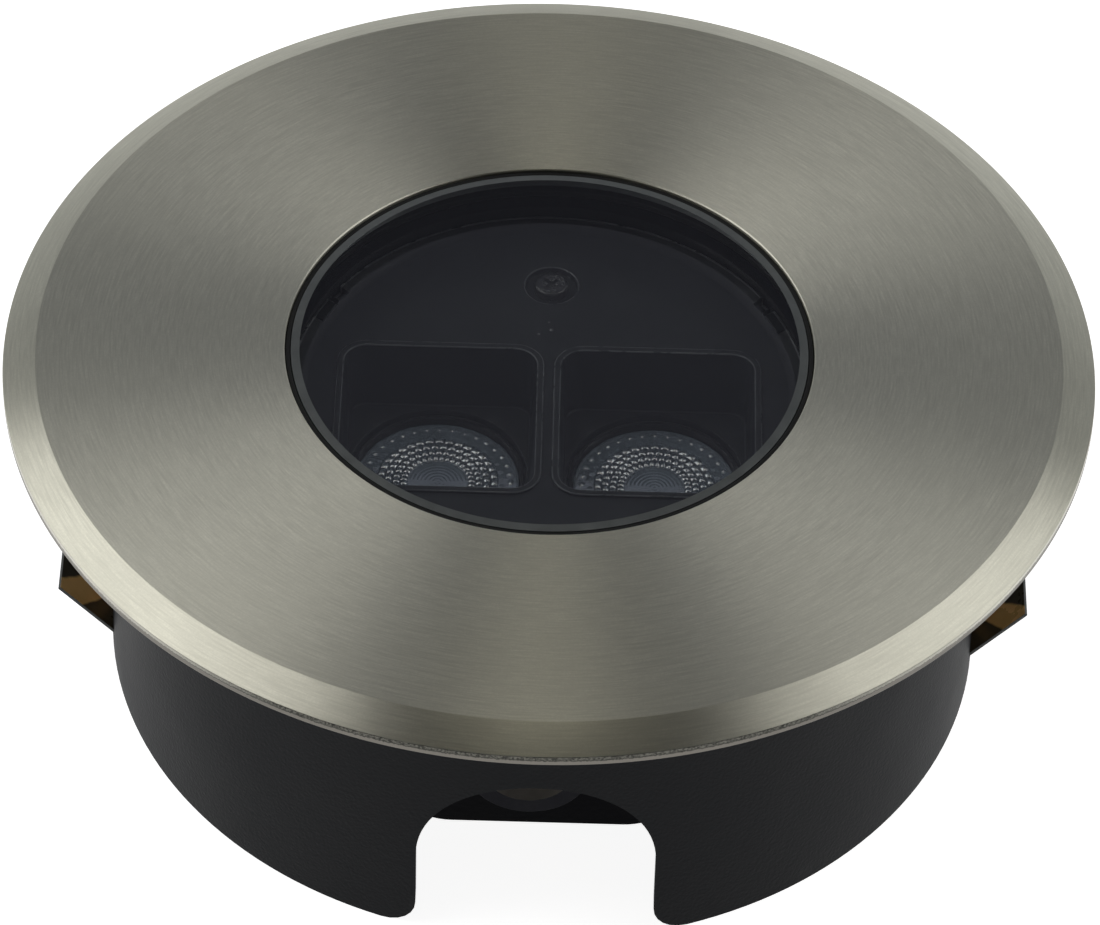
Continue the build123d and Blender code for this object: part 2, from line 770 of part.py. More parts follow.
# ---- spring clips: a leg riveted inside the wall, an arm through the slot ----
bend_height = strip_foot + strip_thickness + strip_bend
bend_mid = strip_bend + strip_thickness / 2
leg_middle = clip_seat - strip_thickness / 2
arm_bend_x = skirt_radius - arm_inset
arm_start = (
    arm_bend_x + bend_mid * sin(radians(arm_rise)),
    bend_height - bend_mid * cos(radians(arm_rise)),
)
arm_end = (
    arm_start[0] + arm_length * cos(radians(arm_rise)),
    arm_start[1] + arm_length * sin(radians(arm_rise)),
)

with BuildPart() as leg_right:
    with BuildSketch(Plane.XZ):
        with BuildLine():
            Line((leg_middle, leg_top), (leg_middle, bend_height))
            CenterArc((leg_middle + bend_mid, bend_height), bend_mid, 180, 90)
            Line((leg_middle + bend_mid, bend_height - bend_mid), (arm_bend_x, bend_height - bend_mid))
        trace(line_width=strip_thickness)
    extrude(amount=strip_width / 2, both=True)
    with BuildSketch(Plane.YZ):
        with Locations(*[(0, height) for height in rivet_heights]):
            Circle(rivet_radius + fit_gap)
    extrude(amount=skirt_radius, mode=Mode.SUBTRACT)
    fillet(leg_right.edges().filter_by(Axis.X).group_by(Axis.Z)[-1], leg_corner)

with BuildPart() as arm_right:
    with BuildSketch(Plane.XZ):
        with BuildLine():
            CenterArc((arm_bend_x, bend_height), bend_mid, -90, arm_rise)
            Line(arm_start, arm_end)
        trace(line_width=strip_thickness)
    extrude(amount=strip_width / 2, both=True)

clip_span = skirt_radius - clip_seat + strip_thickness
with BuildPart() as rivets_right:
    with BuildSketch(Plane.YZ.offset(clip_seat - strip_thickness)):
        with Locations(*[(0, height) for height in rivet_heights]):
            Circle(rivet_radius)
    extrude(amount=clip_span)
    with BuildSketch(Plane.YZ.offset(skirt_radius)):
        with Locations(*[(0, height) for height in rivet_heights]):
            Circle(rivet_head_radius)
    extrude(amount=rivet_head_height, taper=rivet_head_taper)
    with BuildSketch(Plane.YZ.offset(clip_seat - strip_thickness)):
        with Locations(*[(0, height) for height in rivet_heights]):
            Circle(rivet_head_radius)
    extrude(amount=-rivet_head_height, taper=rivet_head_taper)

for piece, name in ((leg_right, "clip_leg"), (arm_right, "clip_arm"), (rivets_right, "clip_rivets")):
    with BuildPart() as mirrored:
        mirror(piece.part, about=Plane.YZ)
    save(mirrored, name + "_left")
    save(piece, name + "_right")

# ---- studs, washers and nuts that hold plate, skirt and can together ----
washer_bottom = lug_bottom - washer_thickness
nut_bottom = washer_bottom - nut_height
with BuildPart() as trim_studs:
    with BuildSketch(Plane.XY.offset(trim_bottom)):
        with PolarLocations(stud_circle, 4, 45):
            Circle(stud_radius)
    extrude(amount=-(trim_bottom - nut_bottom + stud_tail))
    chamfer(trim_studs.faces().group_by(Axis.Z)[0].edges(), edge_break)
save(trim_studs, "trim_studs")

with BuildPart() as trim_washers:
    with BuildSketch(Plane.XY.offset(washer_bottom)):
        with PolarLocations(stud_circle, 4, 45):
            Circle(washer_radius)
            Circle(stud_radius + fit_gap, mode=Mode.SUBTRACT)
    extrude(amount=washer_thickness)
save(trim_washers, "trim_washers")

with BuildPart() as trim_nuts:
    with BuildSketch(Plane.XY.offset(nut_bottom)):
        with PolarLocations(stud_circle, 4, 45):
            RegularPolygon(nut_flats / 2, 6, major_radius=False)
            Circle(stud_radius + fit_gap, mode=Mode.SUBTRACT)
    extrude(amount=nut_height)
save(trim_nuts, "trim_nuts")

print("height", round(trim_top, 2), "plate radius", trim_radius, "skirt radius", skirt_radius)
print("arm bend", arm_bend_x, bend_height, "gland", gland_height, nut_face)
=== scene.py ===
import json
import math
import bmesh
import bpy
import numpy as np
from mathutils import Matrix, Vector
from mathutils.geometry import delaunay_2d_cdt


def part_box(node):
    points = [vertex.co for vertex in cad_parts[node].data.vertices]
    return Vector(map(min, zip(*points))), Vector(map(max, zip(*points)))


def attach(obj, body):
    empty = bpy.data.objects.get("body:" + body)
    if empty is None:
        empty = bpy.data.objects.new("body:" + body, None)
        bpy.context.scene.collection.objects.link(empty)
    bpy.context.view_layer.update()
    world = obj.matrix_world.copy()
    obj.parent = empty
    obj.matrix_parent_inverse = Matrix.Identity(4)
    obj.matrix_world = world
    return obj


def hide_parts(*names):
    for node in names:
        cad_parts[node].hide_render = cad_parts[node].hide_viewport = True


# In ground well light. Shapes are worked out in millimetres and go into the meshes in metres.
mm = 0.001
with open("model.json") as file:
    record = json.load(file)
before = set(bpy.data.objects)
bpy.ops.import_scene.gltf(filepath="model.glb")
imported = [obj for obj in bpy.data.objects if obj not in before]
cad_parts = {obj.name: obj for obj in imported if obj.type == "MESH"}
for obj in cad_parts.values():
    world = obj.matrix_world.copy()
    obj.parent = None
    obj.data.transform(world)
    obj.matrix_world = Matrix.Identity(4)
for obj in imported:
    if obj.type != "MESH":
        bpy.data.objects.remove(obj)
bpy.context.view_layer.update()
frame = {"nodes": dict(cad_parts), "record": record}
print("frame loaded:", len(frame["nodes"]), "nodes")


def lowest(node):
    return np.array(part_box(node)[0]) / mm


def highest(node):
    return np.array(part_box(node)[1]) / mm


# ---- surfaces ----
def gridPatch(points, wrapRows=False, wrapColumns=False, keep=None, look=0):
    # a quad joins two neighbours of one row to the same two of the next row
    rows, columns = points.shape[:2]
    i, j = np.meshgrid(np.arange(rows - (not wrapRows)), np.arange(columns - (not wrapColumns)), indexing="ij")
    below, beside = (i + 1) % rows, (j + 1) % columns
    quads = np.stack([i * columns + j, i * columns + beside, below * columns + beside, below * columns + j], -1)
    quads = quads.reshape(-1, 4) if keep is None else quads[keep]
    return points.reshape(-1, 3), quads, look


def capPatch(loop, look=0):
    # one flat face over a closed loop
    return loop, np.arange(len(loop))[None], look


def inside(points, loop):
    # a point is inside when a level line from it crosses the loop an odd number of times
    x, y = points[:, :1], points[:, 1:]
    startX, startY = loop.T
    endX, endY = np.roll(loop, -1, 0).T
    rise = np.where(endY == startY, 1.0, endY - startY)
    crossed = ((startY > y) != (endY > y)) & (x < (endX - startX) * (y - startY) / rise + startX)
    return crossed.sum(1) % 2 == 1


def flatPatch(loops, height, look=0):
    # the flat face between an outer loop and the holes in it, cut into triangles
    points = np.concatenate(loops)
    starts = np.cumsum([0] + [len(loop) for loop in loops])
    ring = [np.stack([a + np.arange(b - a), a + (np.arange(b - a) + 1) % (b - a)], -1)
            for a, b in zip(starts, starts[1:])]
    found = delaunay_2d_cdt([Vector(p) for p in points.tolist()], np.concatenate(ring).tolist(), [], 1, 1e-9)
    flat, faces = np.array([tuple(v) for v in found[0]]), np.array(found[2])
    middles = flat[faces].mean(1)
    solid = ~np.any([inside(middles, hole) for hole in loops[1:]], axis=0)
    return np.column_stack([flat, np.full(len(flat), height)]), faces[solid], look


def spin(profile, steps, centre=(0, 0), closed=True, look=0):
    # a profile of radius and height carried round an upright axis
    angle = np.linspace(0, 2 * np.pi, steps, endpoint=False)[:, None]
    radius, height = profile[:, 0], profile[:, 1] + 0 * angle
    points = np.stack([centre[0] + radius * np.cos(angle), centre[1] + radius * np.sin(angle), height], -1)
    return gridPatch(points, wrapRows=True, wrapColumns=closed, look=np.tile(look, steps) if np.ndim(look) else look)


def roundCorners(corners, radii, steps=6):
    # each corner becomes an arc that touches both of its sides; the arc's half turn is 90 degrees less half the angle
    corners = np.array(corners, float)
    radii = np.array(radii, float)[:, None]
    back, ahead = np.roll(corners, 1, 0) - corners, np.roll(corners, -1, 0) - corners
    back /= np.linalg.norm(back, axis=1, keepdims=True)
    ahead /= np.linalg.norm(ahead, axis=1, keepdims=True)
    middle = back + ahead
    middle /= np.linalg.norm(middle, axis=1, keepdims=True)
    across = ahead - (ahead * middle).sum(1, keepdims=True) * middle
    across /= np.linalg.norm(across, axis=1, keepdims=True)
    half = np.arccos(np.clip((ahead * middle).sum(1, keepdims=True), -1, 1))
    centre = corners + radii / np.sin(half) * middle
    turn = (np.linspace(-1, 1, steps)[None, :] * (np.pi / 2 - half))[..., None]
    arcs = centre[:, None] + radii[:, None] * (np.sin(turn) * across[:, None] - np.cos(turn) * middle[:, None])
    return arcs.reshape(-1, 2)


def thickSheet(outer, inner, keep, look=0):
    # two sheets on one grid, joined along every open edge of the faces that are kept
    rows, columns = outer.shape[:2]
    points, quads, look = gridPatch(outer, wrapColumns=True, keep=keep, look=look)
    count = rows * columns
    edges = np.stack([quads, np.roll(quads, -1, 1)], -1).reshape(-1, 2)
    code = edges[:, 0] * count + edges[:, 1]
    border = edges[~np.isin(code, edges[:, 1] * count + edges[:, 0])]
    sides = np.stack([border[:, 1], border[:, 0], border[:, 0] + count, border[:, 1] + count], -1)
    return np.concatenate([points, inner.reshape(-1, 3)]), np.concatenate([quads, quads[:, ::-1] + count, sides]), look


def buildPiece(name, patches, finishes, body, slotName, *nodes, sharp=35, bevel=0, segments=2):
    # welds the patches into one closed mesh that is smooth below the sharp angle
    starts = np.cumsum([0] + [len(patch[0]) for patch in patches])
    faces = [face for patch, start in zip(patches, starts) for face in (patch[1] + start).tolist()]
    mesh = bpy.data.meshes.new(name)
    mesh.from_pydata((np.concatenate([patch[0] for patch in patches]) * mm).tolist(), [], faces)
    mesh.polygons.foreach_set("material_index", np.concatenate([np.full(len(p[1]), p[2]) for p in patches]))
    welded = bmesh.new()
    welded.from_mesh(mesh)
    bmesh.ops.remove_doubles(welded, verts=welded.verts, dist=weldGap)
    bmesh.ops.recalc_face_normals(welded, faces=welded.faces)
    welded.to_mesh(mesh)
    welded.free()
    return dressPiece(mesh, finishes, body, nodes, sharp, bevel, segments)


def dressPiece(mesh, finishes, body, nodes, sharp, bevel, segments):
    mesh.shade_smooth()
    piece = bpy.data.objects.new(mesh.name, mesh)
    bpy.context.scene.collection.objects.link(piece)
    for finish in finishes:
        mesh.materials.append(finish)
    if bevel:
        softener = piece.modifiers.new("soft edges", "BEVEL")
        softener.width, softener.segments = bevel * mm, segments
        softener.limit_method, softener.angle_limit = "ANGLE", math.radians(sharp)
        softener.harden_normals = True
        softener.use_clamp_overlap = True
    else:
        mesh.set_sharp_from_angle(angle=math.radians(sharp))
    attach(piece, body)
    if nodes:
        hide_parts(*nodes)
    return piece


weldGap = 1e-6
bodyOf = {node: body for body, nodes in frame["record"]["behaviour"]["bodies"].items() for node in nodes}
slotOf = {part["node"]: part["material_slot"] for part in frame["record"]["subparts"]}


def softenNode(node, bevel, segments=2, sharp=30, others=()):
    # a merged copy of the node with its edges rounded stands for it
    mesh = frame["nodes"][node].data.copy()
    mesh.name = node + "_soft"
    mesh.materials.clear()
    mesh.attributes.remove(mesh.attributes["custom_normal"]) if "custom_normal" in mesh.attributes else None
    welded = bmesh.new()
    welded.from_mesh(mesh)
    bmesh.ops.remove_doubles(welded, verts=welded.verts, dist=weldGap)
    bmesh.ops.dissolve_limit(welded, angle_limit=math.radians(0.5), verts=welded.verts, edges=welded.edges)
    welded.to_mesh(mesh)
    welded.free()
    return dressPiece(mesh, [finishes[slotOf[node]], *others], bodyOf[node], [node], sharp, bevel, segments)


# ---- shader nodes ----
def addNode(tree, kind, inputs=None, **settings):
    node = tree.nodes.new("ShaderNode" + kind)
    for key, value in settings.items():
        setattr(node, key, value)
    for key, value in (inputs or {}).items():
        if isinstance(value, bpy.types.NodeSocket):
            tree.links.new(value, node.inputs[key])
        else:
            node.inputs[key].default_value = value
    return node


def calc(tree, operation, *values):
    return addNode(tree, "Math", dict(enumerate(values)), operation=operation).outputs[0]


def spread(tree, value, low, high, fromLow=0.0, fromHigh=1.0):
    return addNode(tree, "MapRange", {0: value, 1: fromLow, 2: fromHigh, 3: low, 4: high}).outputs[0]


def mixColours(tree, share, first, second):
    mix = addNode(tree, "Mix", {0: share, 6: first, 7: second}, data_type="RGBA")
    return mix.outputs[2]


def makeGroup(name, inputs, outputs, fill):
    group = bpy.data.node_groups.new(name, "ShaderNodeTree")
    for label, value in inputs.items():
        kind = "NodeSocketVector" if value is None else "NodeSocketFloat"
        socket = group.interface.new_socket(label, in_out="INPUT", socket_type=kind)
        if value is not None:
            socket.default_value = value
    for label in outputs:
        group.interface.new_socket(label, in_out="OUTPUT", socket_type="NodeSocketFloat")
    start, end = group.nodes.new("NodeGroupInput"), group.nodes.new("NodeGroupOutput")
    for label, socket in zip(outputs, fill(group, start.outputs)):
        group.links.new(socket, end.inputs[label])
    return group


def fillTurnedLines(tree, sent):
    # noise on the direction from the axis and on the radius, so that a line runs round the axis and fades
    parts = addNode(tree, "SeparateXYZ", {0: sent["Vector"]}).outputs
    flat = addNode(tree, "CombineXYZ", {0: parts[0], 1: parts[1]}).outputs[0]
    radius = addNode(tree, "VectorMath", {0: flat}, operation="LENGTH").outputs["Value"]
    way = addNode(tree, "VectorMath", {0: flat}, operation="NORMALIZE").outputs[0]
    ends = addNode(tree, "SeparateXYZ", {0: way}).outputs
    around = [calc(tree, "MULTIPLY", ends[k], sent["Arcs"]) for k in (0, 1)]
    across = calc(tree, "MULTIPLY", radius, sent["Lines"])
    place = addNode(tree, "CombineXYZ", {0: around[0], 1: around[1], 2: across}).outputs[0]
    fine = addNode(tree, "TexNoise", {"Vector": place, "Scale": 1.0, "Detail": 3.0, "Roughness": 0.65}).outputs[0]
    fine = spread(tree, fine, 0.0, 1.0, 0.28, 0.72)
    slow = addNode(tree, "CombineXYZ", {0: around[0], 1: around[1], 2: calc(tree, "MULTIPLY", across, 0.06)}).outputs[0]
    broad = addNode(tree, "TexNoise", {"Vector": slow, "Scale": 0.5, "Detail": 2.0}).outputs[0]
    return fine, broad


def fillSpeckle(tree, sent):
    # fine grain over a slow mottle
    fine = addNode(tree, "TexNoise", {"Vector": sent["Vector"], "Scale": sent["Grain"], "Detail": 2.0}).outputs[0]
    broad = addNode(tree, "TexNoise", {"Vector": sent["Vector"], "Scale": sent["Mottle"], "Detail": 4.0, "Roughness": 0.6}).outputs[0]
    return fine, spread(tree, broad, 0.0, 1.0, 0.3, 0.7)


def fillDust(tree, sent):
    # dust lies on faces that look up, in patches
    up = addNode(tree, "SeparateXYZ", {0: addNode(tree, "NewGeometry").outputs["Normal"]}).outputs[2]
    patch = addNode(tree, "TexNoise", {"Vector": sent["Vector"], "Scale": sent["Patches"], "Detail": 5.0, "Roughness": 0.7}).outputs[0]
    lying = spread(tree, up, 0.2, 1.0, 0.0, 0.9)
    return (calc(tree, "MULTIPLY", calc(tree, "MULTIPLY", spread(tree, patch, 0.0, 1.0, 0.42, 0.75), lying), sent["Amount"]),)


def fillWornEdges(tree, sent):
    # convex edges, broken up by noise
    sharpness = addNode(tree, "NewGeometry").outputs["Pointiness"]
    broken = addNode(tree, "TexNoise", {"Vector": sent["Vector"], "Scale": sent["Breaks"], "Detail": 3.0}).outputs[0]
    edge = spread(tree, sharpness, 0.0, 1.0, 0.515, 0.58)
    return (calc(tree, "MULTIPLY", calc(tree, "MULTIPLY", edge, spread(tree, broken, 0.0, 1.0, 0.35, 0.65)), sent["Amount"]),)


turnedLines = makeGroup("turned lines", {"Vector": None, "Lines": 6000.0, "Arcs": 4.0}, ("Fine", "Broad"), fillTurnedLines)
speckle = makeGroup("speckle", {"Vector": None, "Grain": 2500.0, "Mottle": 60.0}, ("Fine", "Broad"), fillSpeckle)
dust = makeGroup("dust", {"Vector": None, "Patches": 90.0, "Amount": 0.5}, ("Mask",), fillDust)
wornEdges = makeGroup("worn edges", {"Vector": None, "Breaks": 300.0, "Amount": 0.5}, ("Mask",), fillWornEdges)


def useGroup(tree, group, vector, **values):
    return addNode(tree, "Group", {"Vector": vector, **values}, node_tree=group).outputs


def startFinish(name):
    finish = bpy.data.materials.new(name)
    finish.use_nodes = True
    tree = finish.node_tree
    return finish, tree, tree.nodes["Principled BSDF"], addNode(tree, "TexCoord").outputs["Object"]


def setShader(tree, shader, plain):
    for key, value in plain.items():
        shader.inputs[key].default_value = value


def bump(tree, height, depth):
    return addNode(tree, "Bump", {"Height": height, "Strength": 1.0, "Distance": depth}).outputs[0]


def turnedMetal(name, look):
    # metal turned about the upright axis through centre, with fine lines that spread its highlights
    finish, tree, shader, place = startFinish(name)
    if look.get("centre"):
        place = addNode(tree, "Mapping", {"Vector": place, "Location": [-mm * v for v in look["centre"]],
                                          "Rotation": look.get("turn", (0, 0, 0))}).outputs[0]
    lines = useGroup(tree, turnedLines, place, Lines=look["lines"], Arcs=look["arcs"])
    worn = useGroup(tree, speckle, place, Grain=look["grain"], Mottle=look["mottle"])
    smudge = useGroup(tree, dust, place, Patches=look["mottle"], Amount=look["dust"])["Mask"]
    shade = mixColours(tree, lines["Fine"], look["dark"], look["light"])
    specks = calc(tree, "MULTIPLY", spread(tree, worn["Fine"], 0.0, 1.0, 0.4, 0.6), look.get("specks", 0.0))
    shade = mixColours(tree, calc(tree, "MULTIPLY_ADD", worn["Broad"], look["stain"], specks), shade, look["dark"])
    tree.links.new(mixColours(tree, smudge, shade, look["film"]), shader.inputs["Base Color"])
    rough = calc(tree, "ADD", spread(tree, lines["Broad"], look["rough"][0], look["rough"][1]),
                 calc(tree, "MULTIPLY", worn["Broad"], look["smear"]))
    tree.links.new(rough, shader.inputs["Roughness"])
    tree.links.new(bump(tree, lines["Fine"], look["depth"] * mm), shader.inputs["Normal"])
    if look.get("stretch"):
        way = addNode(tree, "Tangent", direction_type="RADIAL", axis="Z").outputs[0]
        tree.links.new(way, shader.inputs["Tangent"])
        setShader(tree, shader, {"Anisotropic": look["stretch"], "Anisotropic Rotation": look["quarter"]})
    setShader(tree, shader, {"Metallic": 1.0})
    return finish


def grainedMetal(name, look):
    # plain metal with a fine grain and a slow change of tone
    finish, tree, shader, place = startFinish(name)
    grain = useGroup(tree, speckle, place, Grain=look["grain"], Mottle=look["mottle"])
    worn = useGroup(tree, wornEdges, place, Breaks=look["mottle"] * 4, Amount=look["wear"])["Mask"]
    shade = mixColours(tree, grain["Broad"], look["dark"], look["light"])
    tree.links.new(mixColours(tree, worn, shade, look["bright"]), shader.inputs["Base Color"])
    tree.links.new(spread(tree, grain["Broad"], look["rough"][0], look["rough"][1]), shader.inputs["Roughness"])
    tree.links.new(bump(tree, grain["Fine"], look["depth"] * mm), shader.inputs["Normal"])
    setShader(tree, shader, {"Metallic": 1.0})
    return finish


def coatedFinish(name, look):
    # paint, plastic or rubber: grain, mottle, dust on top and worn edges
    finish, tree, shader, place = startFinish(name)
    grain = useGroup(tree, speckle, place, Grain=look["grain"], Mottle=look["mottle"])
    worn = useGroup(tree, wornEdges, place, Breaks=look["mottle"] * 5, Amount=look["wear"])["Mask"]
    film = useGroup(tree, dust, place, Patches=look["mottle"] * 1.5, Amount=look["dust"])["Mask"]
    shade = mixColours(tree, grain["Broad"], look["dark"], look["light"])
    shade = mixColours(tree, worn, shade, look["under"])
    tree.links.new(mixColours(tree, film, shade, look["film"]), shader.inputs["Base Color"])
    rough = calc(tree, "ADD", spread(tree, grain["Broad"], look["rough"][0], look["rough"][1]),
                 calc(tree, "MULTIPLY", film, 0.25))
    tree.links.new(rough, shader.inputs["Roughness"])
    tree.links.new(bump(tree, grain["Fine"], look["depth"] * mm), shader.inputs["Normal"])
    setShader(tree, shader, {"Metallic": 0.0, "Specular IOR Level": look["gloss"]})
    return finish


def clearFinish(name, look):
    # clear glass or plastic that lets lamps through to what is behind it
    finish, tree, shader, place = startFinish(name)
    film = useGroup(tree, dust, place, Patches=look["mottle"], Amount=look["dust"])["Mask"]
    grain = useGroup(tree, speckle, place, Grain=look["grain"], Mottle=look["mottle"])
    tree.links.new(mixColours(tree, film, look["tint"], look["film"]), shader.inputs["Base Color"])
    tree.links.new(spread(tree, film, look["rough"][0], look["rough"][1]), shader.inputs["Roughness"])
    tree.links.new(bump(tree, grain["Fine"], look["depth"] * mm), shader.inputs["Normal"])
    setShader(tree, shader, {"Metallic": 0.0, "Transmission Weight": look["clear"], "IOR": look["bend"],
                             "Specular IOR Level": look["gloss"]})
    open_ = addNode(tree, "BsdfTransparent", {"Color": look["shadow"]}).outputs[0]
    lampRay = addNode(tree, "LightPath").outputs["Is Shadow Ray"]
    mix = addNode(tree, "MixShader", {0: lampRay, 1: shader.outputs[0], 2: open_})
    tree.links.new(mix.outputs[0], tree.nodes["Material Output"].inputs["Surface"])
    return finish


def stripWithPaintedReflection(name, look):
    # polished bronze strip with a painted reflection: one bright field between two slanted limits, painted near-black
    # outside it for the dark surroundings it mirrors
    finish, tree, shader, place = startFinish(name)
    grain = useGroup(tree, speckle, place, Grain=look["grain"], Mottle=look["mottle"])
    parts = addNode(tree, "SeparateXYZ", {0: place}).outputs
    wander = calc(tree, "MULTIPLY", calc(tree, "SUBTRACT", grain["Broad"], 0.5), look["wander"] * mm)
    share = None
    for start, perY, perZ in look["limits"]:
        value = calc(tree, "ADD", calc(tree, "MULTIPLY", parts[1], perY), calc(tree, "MULTIPLY", parts[2], perZ))
        side = spread(tree, calc(tree, "ADD", calc(tree, "ADD", value, start * mm), wander), 0.0, 1.0, 0.0, look["soft"] * mm)
        share = side if share is None else calc(tree, "MULTIPLY", share, side)
    bright = mixColours(tree, grain["Broad"], look["dark"], look["light"])
    tree.links.new(mixColours(tree, share, look["mirroredDark"], bright), shader.inputs["Base Color"])
    tree.links.new(spread(tree, grain["Broad"], look["rough"][0], look["rough"][1]), shader.inputs["Roughness"])
    tree.links.new(bump(tree, grain["Fine"], look["depth"] * mm), shader.inputs["Normal"])
    setShader(tree, shader, {"Metallic": look["metal"]})
    return finish


def edgeFinish(name, look):
    # the turned side of the cover plate: near-black painted shade with lighter speckles under the bevel, a lighter band
    # along the foot with a dark line above it, and painted light at left and right
    finish, tree, shader, place = startFinish(name)
    lines = useGroup(tree, turnedLines, place, Lines=look["lines"], Arcs=look["arcs"])
    height = addNode(tree, "SeparateXYZ", {0: place}).outputs[2]
    ragged = calc(tree, "ADD", height, calc(tree, "MULTIPLY", calc(tree, "SUBTRACT", lines["Broad"], 0.5), look["ragged"] * mm))
    lighterFoot = spread(tree, ragged, 1.0, 0.0, look["low"] * mm, look["high"] * mm)
    aside = calc(tree, "ABSOLUTE", addNode(tree, "SeparateXYZ", {0: place}).outputs[0])
    specks = useGroup(tree, speckle, place, Grain=look["grain"], Mottle=look["mottle"])["Fine"]
    shade = mixColours(tree, spread(tree, specks, 0.0, 1.0, 0.38, 0.6), look["dark"], look["stain"])
    # painted light: where the side faces the lamps at left and right it is painted bright steel
    shade = mixColours(tree, spread(tree, aside, 0.0, 1.0, look["sides"][0] * mm, look["sides"][1] * mm), shade, look["bright"])
    shade = mixColours(tree, lighterFoot, shade, look["light"])
    darkLine = calc(tree, "ABSOLUTE", calc(tree, "SUBTRACT", ragged, look["high"] * mm))
    darkLine = spread(tree, darkLine, 0.7, 0.0, 0.03 * mm, 0.16 * mm)
    tree.links.new(mixColours(tree, darkLine, shade, look["dark"]), shader.inputs["Base Color"])
    tree.links.new(spread(tree, lines["Fine"], look["rough"][0], look["rough"][1]), shader.inputs["Roughness"])
    setShader(tree, shader, {"Metallic": 1.0})
    return finish


def rgb(r, g, b):
    return (r, g, b, 1.0)


